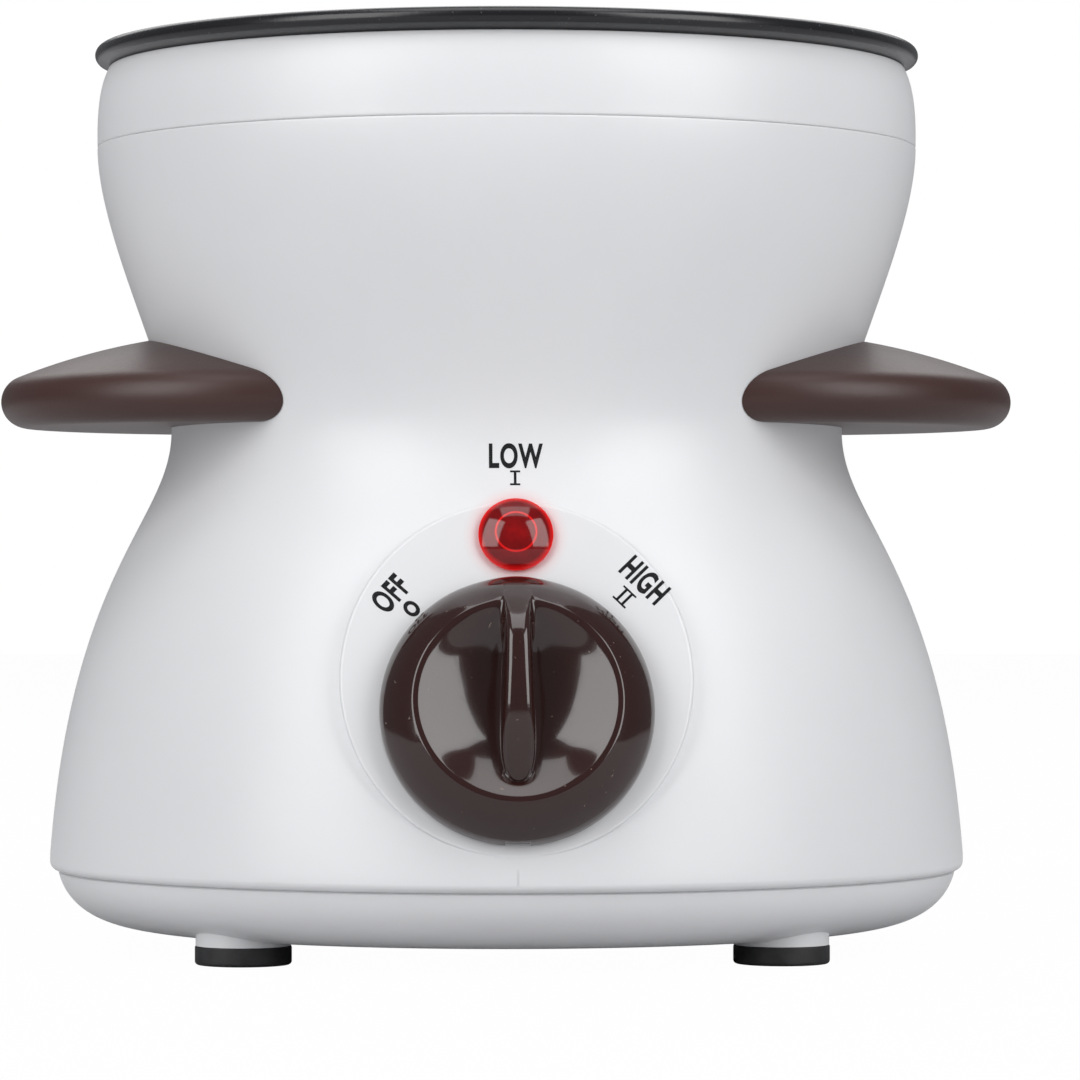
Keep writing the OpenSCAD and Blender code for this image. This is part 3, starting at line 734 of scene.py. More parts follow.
@dataclass(frozen=True, eq=False)
class Metal(Finish):
    """Bare metal with turned or drawn lines and a few darker patches."""

    colour: Colour
    patch: Colour
    roughness: float
    turned: bool
    turned_size: float = 0.4 * MM
    drawn_size: float = 0.5 * MM
    line_depth: float = 0.008 * MM
    line_dull: float = 0.12
    patch_size: float = 5 * MM
    patch_range: tuple[float, float] = (0.4, 0.75)
    patch_dull: float = 0.08

    def sockets(self, tree: ShaderTree) -> dict[str, Any]:
        """Patches in the colour, and lines round the axis if it was turned.

        Args:
            tree: The material's tree.

        Returns:
            The values by socket.
        """
        if self.turned:
            reach = tree.away_from(Vector((0, 0, 0)), Vector((0, 0, 1)))
            place = tree.node("ShaderNodeCombineXYZ", None, {"X": reach, "Y": tree.axis("Z")})
            lines = tree.noise(self.turned_size, 3.0, place)
        else:
            lines = tree.noise(self.drawn_size, detail=3.0)
        patches = tree.spread(tree.noise(self.patch_size, detail=4.0), *self.patch_range)
        return dict(
            Base_Color=tree.blend(patches, self.colour, self.patch),
            Metallic=1.0,
            Roughness=self.roughness + self.line_dull * lines + self.patch_dull * patches,
            Normal=tree.bump(lines, self.line_depth),
        )


@dataclass(frozen=True, eq=False)
class Mica(Finish):
    """Pressed mica sheet: golden, scaly and a little shiny."""

    colour: Colour
    scale: Colour
    scale_size: float = 1.6 * MM
    scale_depth: float = 0.02 * MM
    scale_dull: float = 0.2
    roughness: float = 0.35

    def sockets(self, tree: ShaderTree) -> dict[str, Any]:
        """Scales in the colour, the gloss and the relief.

        Args:
            tree: The material's tree.

        Returns:
            The values by socket.
        """
        cells = tree.node("ShaderNodeTexVoronoi", None, {"Vector": tree.place, "Scale": 1 / self.scale_size})
        return dict(
            Base_Color=tree.blend(cells, self.colour, self.scale),
            Roughness=self.roughness + self.scale_dull * cells,
            Normal=tree.bump(cells, self.scale_depth),
        )


@dataclass(frozen=True, eq=False)
class RedLens(Finish):
    """Clear red plastic: deep red over the cavity for the lamp, with painted light brighter along its wall
    and its rim, and a painted glow from the lamp within.
    """

    centre: Vector
    direction: Vector
    rim_r: float
    wall_r: float
    deep: Colour = (0.10, 0.001, 0.002)
    painted_lit_red: Colour = (0.75, 0.008, 0.008)
    wall_w: float = 0.2 * MM
    rim_w: float = 0.7 * MM
    painted_rim_light: float = 0.85
    painted_heart_light: tuple[float, float] = (0.45, 0.15)
    cloud_size: float = 1.4 * MM
    roughness: float = 0.06
    uneven: float = 0.05
    clearness: float = 0.25
    painted_glow: float = 0.24

    def sockets(self, tree: ShaderTree) -> dict[str, Any]:
        """Rings of painted light round the lens's own axis, and a painted glow, for the lamp within.

        Args:
            tree: The material's tree.

        Returns:
            The values by socket.
        """
        reach = tree.away_from(self.centre, self.direction)
        # Painted light: brighter rings along the bore's wall and the rim, and a brighter heart, stand for the
        # lamp's light in the colour.
        wall = tree.spread(abs(reach - self.wall_r), self.wall_w / 4, self.wall_w, 1.0, 0.0)
        rim = tree.spread(reach, self.rim_r - self.rim_w, self.rim_r - self.wall_w / 4)
        painted_heart = tree.spread(reach, 0.0, self.wall_r, *self.painted_heart_light)
        clouds = tree.noise(self.cloud_size, detail=3.0)
        colour = tree.blend(wall.greatest(rim) * self.painted_rim_light + painted_heart * clouds, self.deep, self.painted_lit_red)
        return dict(
            Base_Color=colour,
            Roughness=self.roughness + self.uneven * clouds,
            IOR=1.49,
            # Painted glow: the cap gives off the lamp's light itself, as the lamp gives none.
            Transmission_Weight=self.clearness,
            Emission_Color=colour,
            Emission_Strength=self.painted_glow,
        )


@dataclass(frozen=True, eq=False)
class LampGlass(Finish):
    """Clear glass of a small lamp, with a faint haze."""

    clear: Colour = (0.95, 0.85, 0.75)
    hazy: Colour = (0.98, 0.94, 0.9)
    haze_size: float = 1.2 * MM
    haze_dull: float = 0.08
    roughness: float = 0.03
    clearness: float = 0.9

    def sockets(self, tree: ShaderTree) -> dict[str, Any]:
        """Haze in the colour and the gloss.

        Args:
            tree: The material's tree.

        Returns:
            The values by socket.
        """
        haze = tree.noise(self.haze_size, detail=3.0)
        return dict(
            Base_Color=tree.blend(haze, self.clear, self.hazy),
            Roughness=self.roughness + self.haze_dull * haze,
            IOR=1.5,
            Transmission_Weight=self.clearness,
        )


@dataclass(frozen=True, eq=False)
class Ink(Finish):
    """Black printing ink, a little thin in places."""

    colour: Colour = (0.006, 0.006, 0.007)
    thin: Colour = (0.05, 0.05, 0.055)
    thin_size: float = 0.3 * MM
    thin_range: tuple[float, float] = (0.55, 0.9)
    thin_dull: float = 0.2
    roughness: float = 0.6
    shine: float = 0.2

    def sockets(self, tree: ShaderTree) -> dict[str, Any]:
        """Thin places in the colour and the gloss.

        Args:
            tree: The material's tree.

        Returns:
            The values by socket.
        """
        thin = tree.spread(tree.noise(self.thin_size, detail=3.0), *self.thin_range)
        return dict(
            Base_Color=tree.blend(thin, self.colour, self.thin),
            Roughness=self.roughness + self.thin_dull * thin,
            Specular_IOR_Level=self.shine,
        )


WHITE = Moulding(Slot.WHITE_PLASTIC, (0.725, 0.73, 0.74), (0.70, 0.705, 0.715), 0.36)
BROWN_SATIN = Moulding(
    Slot.BROWN_SATIN,
    (0.041, 0.016, 0.0125),
    (0.049, 0.020, 0.016),
    0.42,
    grain=0.5 * MM,
    grain_depth=0.02 * MM,
)
BROWN_GLOSS = Polish(Slot.BROWN_GLOSS, (0.024, 0.0075, 0.006), (0.14, 0.10, 0.085), 0.12)
BLACK_PLASTIC = Moulding(Slot.BLACK_PLASTIC, (0.02, 0.02, 0.021), (0.03, 0.03, 0.032), 0.45)
BLACK_RUBBER = Rubber(Slot.BLACK_RUBBER, (0.012, 0.012, 0.013), (0.035, 0.035, 0.036))
BLACK_COATING = Coating(Slot.BLACK_COATING, (0.009, 0.009, 0.011), (0.05, 0.05, 0.06))
DRAWN_ALUMINIUM = Metal(Slot.BARE_ALUMINIUM, (0.80, 0.80, 0.81), (0.68, 0.68, 0.7), 0.26, turned=True)
ZINC_STEEL = Metal(Slot.STEEL, (0.62, 0.62, 0.64), (0.5, 0.5, 0.5), 0.3, turned=False)
MICA = Mica(Slot.MICA, (0.42, 0.32, 0.16), (0.55, 0.45, 0.27))
LAMP_GLASS = LampGlass(Slot.LAMP_GLASS)
INK = Ink(Slot.BLACK_PLASTIC)


# Sub-assemblies


@dataclass
class SubAssembly:
    """A group of pieces that is built and then dressed."""

    pieces: defaultdict[Finish, list[Thing]] = field(default_factory=lambda: defaultdict(list), init=False)

    def keep(self, piece: Thing, body: Body, finish: Finish, *nodes: str) -> None:
        """Makes a finished piece ride on a body and stand for its nodes.

        Args:
            piece: The piece.
            body: The body that it moves with.
            finish: What it is dressed in.
            nodes: The nodes that it stands for.
        """
        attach(piece, body.value)
        if nodes:
            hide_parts(*nodes)
        self.pieces[finish].append(piece)
        log.info("%s: %d faces, rides on %s", piece.name, len(piece.data.polygons), body.value)

    def build(self) -> None:
        """Makes the meshes."""
        raise NotImplementedError

    def dress(self) -> None:
        """Gives the pieces that share a finish one material all over."""
        for finish, pieces in self.pieces.items():
            material = finish.material()
            for piece in pieces:
                piece.data.materials.clear()
                piece.data.materials.append(material)


@dataclass
class Housing(SubAssembly):
    """The waisted white shell, with its flat round dial face."""

    base_r: float = 65.2 * MM
    base_z: float = 11.2 * MM
    waist_r: float = 48 * MM
    waist_z: float = 73.5 * MM
    top_r: float = 58.55 * MM
    top_z: float = 114 * MM
    wall: float = 2.2 * MM
    seam_round: float = 1.2 * MM
    seam_rise: float = 2.2 * MM
    seam_chamfer: float = 0.3 * MM
    shelf_r: float = 55.6 * MM
    shelf_h: float = 4 * MM
    shelf_slope_h: float = 3 * MM
    groove_r: float = 57.2 * MM
    groove_w: float = 0.8 * MM
    groove_h: float = 1.5 * MM
    low_share: tuple[float, float, float] = (0.18, 0.69, 0.21)
    high_share: tuple[float, float] = (0.21, 0.31)
    low_steps: int = 56
    high_steps: int = 40
    dial_r: float = 23.5 * MM
    dial_up: float = 4.6 * MM
    dial_proud: float = 0.5 * MM
    dial_low_proud: float = 0.14 * MM
    dial_wall: float = 2.6 * MM
    dial_edge_r: float = 0.5 * MM
    tick_w: float = 0.35 * MM
    tick_h: float = 3.2 * MM
    tick_depth: float = 0.12 * MM
    lens_rise: float = 19.7 * MM
    lens_r: float = 5 * MM
    painted_glow_w: float = 2.6 * MM

    def side(self) -> list[Point]:
        """The outer outline, from above the base seam up to the collar seam."""
        belly = self.base_z + self.seam_rise
        rise = self.waist_z - belly
        climb = self.top_z - self.waist_z
        flare = self.base_r - self.waist_r
        low = bezier(
            (self.base_r, belly),
            (self.base_r - self.low_share[0] * flare, belly + self.low_share[1] * rise),
            (self.waist_r, self.waist_z - self.low_share[2] * rise),
            (self.waist_r, self.waist_z),
            self.low_steps,
        )
        high = bezier(
            (self.waist_r, self.waist_z),
            (self.waist_r, self.waist_z + self.high_share[0] * climb),
            (self.top_r, self.top_z - self.high_share[1] * climb),
            (self.top_r, self.top_z),
            self.high_steps,
        )
        return low + high[1:-1]

    def core(self, name: str, proud: float) -> Thing:
        """A solid with the housing's outline, moved outwards by proud."""
        side = beside(self.side(), proud)
        return lathe(name, [(0, side[0][1]), *side, (0, side[-1][1])])

    def dial_z(self) -> float:
        """The height of the middle of the dial face."""
        return self.base_z + self.dial_up + self.dial_r

    def dial_tilt(self) -> float:
        """How far the dial face leans back, its lower edge a little proud and its upper one more."""
        low, high = (radius_at(self.side(), self.dial_z() + way * self.dial_r) for way in (-1, 1))
        return math.atan((low + self.dial_low_proud - high - self.dial_proud) / (2 * self.dial_r))

    def dial_frame(self, up: float = 0.0) -> Matrix:
        """The dial face's own frame: x to the right, y up the face and z out of it.

        Args:
            up: How far its origin lies above the middle of the face.

        Returns:
            The matrix from that frame to the object's.
        """
        reach = radius_at(self.side(), self.dial_z() + self.dial_r) + self.dial_proud
        reach += self.dial_r * math.tan(self.dial_tilt())
        turn = Matrix.Rotation(math.radians(90) - self.dial_tilt(), 4, "X")
        return Matrix.Translation((0, -reach, self.dial_z())) @ turn @ Matrix.Translation((0, up, 0))

    def dial_out(self) -> Vector:
        """The direction out of the dial face."""
        return self.dial_frame().to_3x3() @ Vector((0, 0, 1))

    def dial_bar(self, name: str, radius: float, reach: float) -> Thing:
        """A round bar through the dial, along the mould's way, out to a distance from the axis."""
        low, high = (Vector((0, -r, self.dial_z())) for r in (self.waist_r - self.wall, reach))
        return rod(name, radius, low, high, sides=192)

    def shell(self) -> Thing:
        """The turned wall, with its shelf, its groove and its seams."""
        side, edge = self.side(), self.seam_chamfer
        inner = [p for p in beside(side, -self.wall) if p[1] < self.top_z - self.shelf_h - self.shelf_slope_h]
        corner = (self.base_r - self.seam_round, self.base_z + self.seam_round)
        outline = [(self.base_r - self.wall, self.base_z)]
        outline += arc(corner, self.seam_round, -90, 0, steps=8)
        outline += side
        outline += arc((self.top_r - edge, self.top_z - edge), edge, 0, 90, EDGE_STEPS)
        outline += [(self.groove_r + self.groove_w, self.top_z)]
        outline += [(self.groove_r + self.groove_w, self.top_z - self.groove_h)]
        outline += [(self.groove_r, self.top_z - self.groove_h), (self.groove_r, self.top_z)]
        outline += [(self.shelf_r, self.top_z), (self.shelf_r, self.top_z - self.shelf_h)]
        outline += inner[::-1] + outline[:1]
        return lathe("housing_shell", outline)

    def dial_disc(self) -> Thing:
        """The flat face as a disc with a rounded front edge, cut from a round bar along the mould's way."""
        disc = self.dial_bar("dial_disc", self.dial_r, self.base_r + self.wall)
        outwards = self.dial_out()
        front = self.dial_frame().translation
        slice_off(disc, front, outwards)
        slice_off(disc, front - self.dial_wall * outwards, outwards, ahead=False)
        pick_edges(disc, lambda a, b: all(abs((p - front).dot(outwards)) < WELD for p in (a, b)))
        with editing(disc, "EDGE"):
            bpy.ops.mesh.bevel(offset=self.dial_edge_r, segments=EDGE_STEPS, affect="EDGES")
        return disc

    def build(self) -> None:
        """Turns the shell, cuts its belly away in front of the face, sets the face in and marks the seam."""
        shell = self.shell()
        cutter = self.dial_bar("dial_cutter", self.dial_r - 2 * WELD, self.base_r + self.dial_r)
        slice_off(cutter, self.dial_frame().translation, self.dial_out(), ahead=False)
        combine(shell, cutter, Cut.REMOVE)
        combine(shell, self.dial_disc(), Cut.ADD)
        tick_size = (self.tick_w, 2 * self.tick_depth, self.tick_h)
        tick = block("mould_tick", (0, -self.base_r, self.base_z + self.tick_h / 2), tick_size)
        combine(shell, tick, Cut.REMOVE)
        shell.name = shell.data.name = "housing_moulding"
        smooth(shell)
        lens = self.dial_frame(self.lens_rise).translation
        # The lens's red light is painted into the white plastic's colour round the lens.
        painted_glow = PaintedGlow(lens, self.dial_out(), self.lens_r, self.lens_r + self.painted_glow_w)
        self.keep(shell, Body.BASE, replace(WHITE, painted_glow=painted_glow), "housing")


@dataclass
class Collar(SubAssembly):
    """The white ring over the housing that carries the pot's rim."""

    housing: Housing
    height: float = 11.4 * MM
    upper_r: float = 57 * MM
    bore_r: float = 54.9 * MM
    flange_r: float = 57 * MM
    flange_h: float = 0.8 * MM
    fit_gap: float = 0.05 * MM
    seat_gap: float = 0.1 * MM
    share: tuple[float, float, float] = (0.21, 1.12, 0.31)
    steps: int = 40

    def top_z(self) -> float:
        """The height of the collar's upper edge."""
        return self.housing.top_z + self.height

    def build(self) -> None:
        """Turns the ring."""
        h = self.housing
        low, high, edge = h.top_z, self.top_z(), h.seam_chamfer
        outer = bezier(
            (h.top_r, low + edge),
            (h.top_r, low + self.share[0] * self.height),
            (self.upper_r + self.share[1] * (h.top_r - self.upper_r), high - self.share[2] * self.height),
            (self.upper_r, high - edge),
            self.steps,
        )
        flange_r, flange_z = self.flange_r + self.fit_gap, low + self.flange_h + self.fit_gap
        tongue_in, tongue_out = h.groove_r + self.fit_gap, h.groove_r + h.groove_w - self.fit_gap
        tongue_z = low - h.groove_h + self.seat_gap
        outline = [(tongue_out, low)]
        outline += arc((h.top_r - edge, low + edge), edge, -90, 0, EDGE_STEPS)
        outline += outer[1:]
        outline += arc((self.upper_r - edge, high - edge), edge, 0, 90, EDGE_STEPS)[1:]
        outline += [(self.bore_r, high), (self.bore_r, flange_z), (flange_r, flange_z), (flange_r, low)]
        outline += [(tongue_in, low), (tongue_in, tongue_z), (tongue_out, tongue_z)]
        ring = lathe("collar_ring", outline + outline[:1])
        smooth(ring)
        self.keep(ring, Body.BASE, WHITE, "collar")


@dataclass
class BasePan(SubAssembly):
    """The white pan under the housing, its four hollow posts and the rubber pads below them."""

    housing: Housing
    pan_z: float = 3 * MM
    wall: float = 2 * MM
    flat_r: float = 50 * MM
    seam_in: float = 1.2 * MM
    lip_h: float = 3.3 * MM
    lip_gap: float = 0.3 * MM
    lip_w: float = 1.6 * MM
    foot_spread: float = 36.7 * MM
    post_r: float = 6.5 * MM
    post_top_z: float = 14 * MM
    pad_r: float = 6.6 * MM
    pad_h: float = 2.6 * MM
    pad_round: float = 0.5 * MM
    plug_r: float = 3.95 * MM
    plug_h: float = 2.6 * MM
    vent_in_r: float = 18 * MM
    vent_out_r: float = 32 * MM
    vent_w: float = 2.6 * MM
    vent_count: int = 12
    share: tuple[float, float, float] = (0.6, 0.92, 0.39)
    steps: int = 40

    def shell(self) -> Thing:
        """The turned pan."""
        seam_r, seam_z = self.housing.base_r - self.seam_in, self.housing.base_z
        edge = self.housing.seam_chamfer
        run = seam_r - self.flat_r
        outer = bezier(
            (self.flat_r, self.pan_z),
            (self.flat_r + self.share[0] * run, self.pan_z),
            (self.flat_r + self.share[1] * run, self.pan_z + self.share[2] * (seam_z - self.pan_z)),
            (seam_r, seam_z - edge),
            self.steps,
        )
        inner = [p for p in beside(outer, -self.wall) if p[1] < seam_z - self.wall]
        lip_r = self.housing.base_r - self.housing.wall - self.lip_gap
        lip_z = seam_z + self.lip_h
        outline = [(0, self.pan_z), *outer, (seam_r - edge, seam_z), (lip_r, seam_z), (lip_r, lip_z)]
        outline += [(lip_r - self.lip_w, lip_z), *inner[::-1], (0, self.pan_z + self.wall)]
        return lathe("base_pan_moulding", outline)

    def vents(self) -> Thing:
        """The slots in the pan's floor as one tool: a round bar that is drawn out and copied round."""
        middle = Vector((self.vent_in_r, 0, self.pan_z + self.wall / 2))
        half = Vector((0, 0, self.wall / 2 + MM))
        tool = rod("vents", self.vent_w / 2, middle - half, middle + half, sides=24)
        pick(tool, "vertices", [v.co.x > self.vent_in_r for v in tool.data.vertices])
        with editing(tool):
            bpy.ops.transform.translate(value=(self.vent_out_r - self.vent_in_r, 0, 0))
            pitch = math.tau / self.vent_count
            bpy.ops.mesh.select_all(action="SELECT")
            bpy.ops.transform.rotate(value=pitch / 2, orient_axis="Z", center_override=(0, 0, 0))
            for _ in range(self.vent_count - 1):
                bpy.ops.mesh.duplicate()
                bpy.ops.transform.rotate(value=pitch, orient_axis="Z", center_override=(0, 0, 0))
        return tool

    def pad(self, name: str, x: float, y: float) -> Thing:
        """A rubber pad with a rounded foot and its plug.

        Args:
            name: The pad's name.
            x: Where its middle lies, sideways.
            y: Where its middle lies, front to back.

        Returns:
            The pad.
        """
        low, high = self.pad_round, self.pad_round / 2
        plug_z = self.pad_h + self.plug_h
        outline = [(0, 0), *arc((self.pad_r - low, low), low, -90, 0, steps=6)]
        outline += arc((self.pad_r - high, self.pad_h - high), high, 0, 90, steps=3)
        outline += [(self.plug_r, self.pad_h), (self.plug_r, plug_z), (0, plug_z)]
        pad = lathe(name, outline, SMALL_STEPS)
        settle(pad, Matrix.Translation((x, y, 0)))
        smooth(pad)
        return pad

    def build(self) -> None:
        """Turns the pan, adds the posts, cuts the vents and makes the pads."""
        pan = self.shell()
        places = {
            f"{depth}_{side}": Vector((x * self.foot_spread, y * self.foot_spread, 0))
            for depth, y in (("front", -1), ("rear", 1))
            for side, x in (("left", -1), ("right", 1))
        }
        for place in places.values():
            low, high = Vector((0, 0, self.pad_h)), Vector((0, 0, self.post_top_z))
            combine(pan, rod("post", self.post_r, place + low, place + high, SMALL_STEPS), Cut.ADD)
            ends = (place + low + Vector((0, 0, rise)) for rise in (-MM, self.plug_h + MM))
            combine(pan, rod("hollow", self.plug_r + WELD, *ends, SMALL_STEPS), Cut.REMOVE)
        combine(pan, self.vents(), Cut.REMOVE)
        smooth(pan)
        self.keep(pan, Body.BASE, WHITE, "base_pan")
        for where, place in places.items():
            pad = self.pad(f"rubber_foot_{where}", place.x, place.y)
            self.keep(pad, Body.BASE, BLACK_RUBBER, f"foot_pad_{where}")


@dataclass
class Handles(SubAssembly):
    """Two brown handles: flat domes with a rounded rim, fitted round the waist."""

    housing: Housing
    reach: float = 35 * MM
    radius: float = 37.28 * MM
    z: float = 74 * MM
    crown: float = 13.9 * MM
    edge_r: float = 3.7 * MM
    gap: float = 0.1 * MM
    rim_steps: int = 20
    dome_steps: int = 48

    def dome(self) -> Thing:
        """The whole dome, standing on the axis."""
        flat_r = self.radius - self.edge_r
        dome_r = flat_r**2 + self.crown**2 - 2 * self.crown * self.edge_r
        dome_r /= 2 * (self.crown - 2 * self.edge_r)
        join = math.degrees(math.acos(flat_r / (dome_r - self.edge_r)))
        outline = [(0, 0), *arc((flat_r, self.edge_r), self.edge_r, -90, join, self.rim_steps)]
        outline += arc((0, self.crown - dome_r), dome_r, join, 90, self.dome_steps)[1:-1] + [(0, self.crown)]
        return lathe("handle_dome", outline)

    def build(self) -> None:
        """Cuts the housing's shape out of a dome and turns a copy to the other side."""
        right = self.dome()
        settle(right, Matrix.Translation((self.reach, 0, self.z)))
        combine(right, self.housing.core("housing_core", self.gap), Cut.REMOVE)
        right.name = right.data.name = "handle_grip_right"
        left = copy_of(right, "handle_grip_left")
        settle(left, Matrix.Rotation(math.pi, 4, "Z"))
        for piece, node in ((right, "handle_right"), (left, "handle_left")):
            smooth(piece)
            self.keep(piece, Body.BASE, BROWN_SATIN, node)


@dataclass
class Pot(SubAssembly):
    """The loose black pot: a rolled rim over the collar, a smooth side and a flat bottom."""

    housing: Housing
    collar: Collar
    bottom_z: float = 76 * MM
    bottom_r: float = 33 * MM
    side_r: float = 53.6 * MM
    rim_r: float = 58.9 * MM
    rim_h: float = 3 * MM
    roll_start: float = -50
    wall: float = 1.6 * MM
    share: tuple[float, float, float] = (0.95, 0.51, 0.53)
    steps: int = 60
    liner_gap: float = 1 * MM
    liner_wall: float = 0.8 * MM
    stud_r: float = 1.5 * MM
    stud_place_r: float = 18 * MM
    stud_h: float = 9.6 * MM
    stud_count: int = 3

    def side(self) -> list[Point]:
        """The outer outline, from the flat bottom up to the rim."""
        top = self.collar.top_z()
        run, rise = self.side_r - self.bottom_r, top - self.bottom_z
        return bezier(
            (self.bottom_r, self.bottom_z),
            (self.bottom_r + self.share[1] * run, self.bottom_z),
            (self.side_r - (1 - self.share[0]) * run, top - self.share[2] * rise),
            (self.side_r, top),
            self.steps,
        )

    def build(self) -> None:
        """Turns the pot and the well that it hangs in."""
        top, upper_r = self.collar.top_z(), self.collar.upper_r
        edge_r = (self.rim_r - upper_r) * 2 / 3
        inner = beside(self.side(), -self.wall)
        roll_r = self.collar.bore_r - inner[-1][0]
        rim_z = top + self.rim_h
        outline = [(0, self.bottom_z), *self.side(), (upper_r - self.housing.seam_chamfer, top)]
        outline += arc((self.rim_r - edge_r, rim_z - edge_r), edge_r, self.roll_start, 90, steps=14)
        outline += arc((self.collar.bore_r, rim_z - roll_r), roll_r, 90, 180, steps=12)
        outline += inner[::-1] + [(0, self.bottom_z + self.wall)]
        pot = lathe("fondue_bowl", outline)
        smooth(pot)
        self.keep(pot, Body.POT, BLACK_COATING, "pot")
        self.build_liner()

    def build_liner(self) -> None:
        """Turns the drawn well, with its flange, and sets its studs."""
        flange_z, flange_r, wall = self.housing.top_z, self.collar.flange_r, self.liner_wall
        inner = [p for p in beside(self.side(), self.liner_gap) if p[1] < flange_z]
        outer = [p for p in beside(self.side(), self.liner_gap + wall) if p[1] < flange_z]
        floor_z = self.bottom_z - self.liner_gap
        neck_r = inner[-1][0]
        outline = [(0, floor_z - wall), *outer, (neck_r + wall, flange_z), (flange_r, flange_z)]
        outline += [(flange_r, flange_z + wall), (neck_r, flange_z + wall), *inner[::-1], (0, floor_z)]
        liner = lathe("pot_well", outline)
        for i in range(self.stud_count):
            turn = Matrix.Rotation(i * math.tau / self.stud_count, 4, "Z")
            foot = turn @ Vector((self.stud_place_r, 0, floor_z - wall - self.stud_h))
            head = turn @ Vector((self.stud_place_r, 0, floor_z - wall / 2))
            combine(liner, rod("stud", self.stud_r, foot, head, sides=32), Cut.ADD)
        smooth(liner)
        self.keep(liner, Body.BASE, DRAWN_ALUMINIUM, "liner")


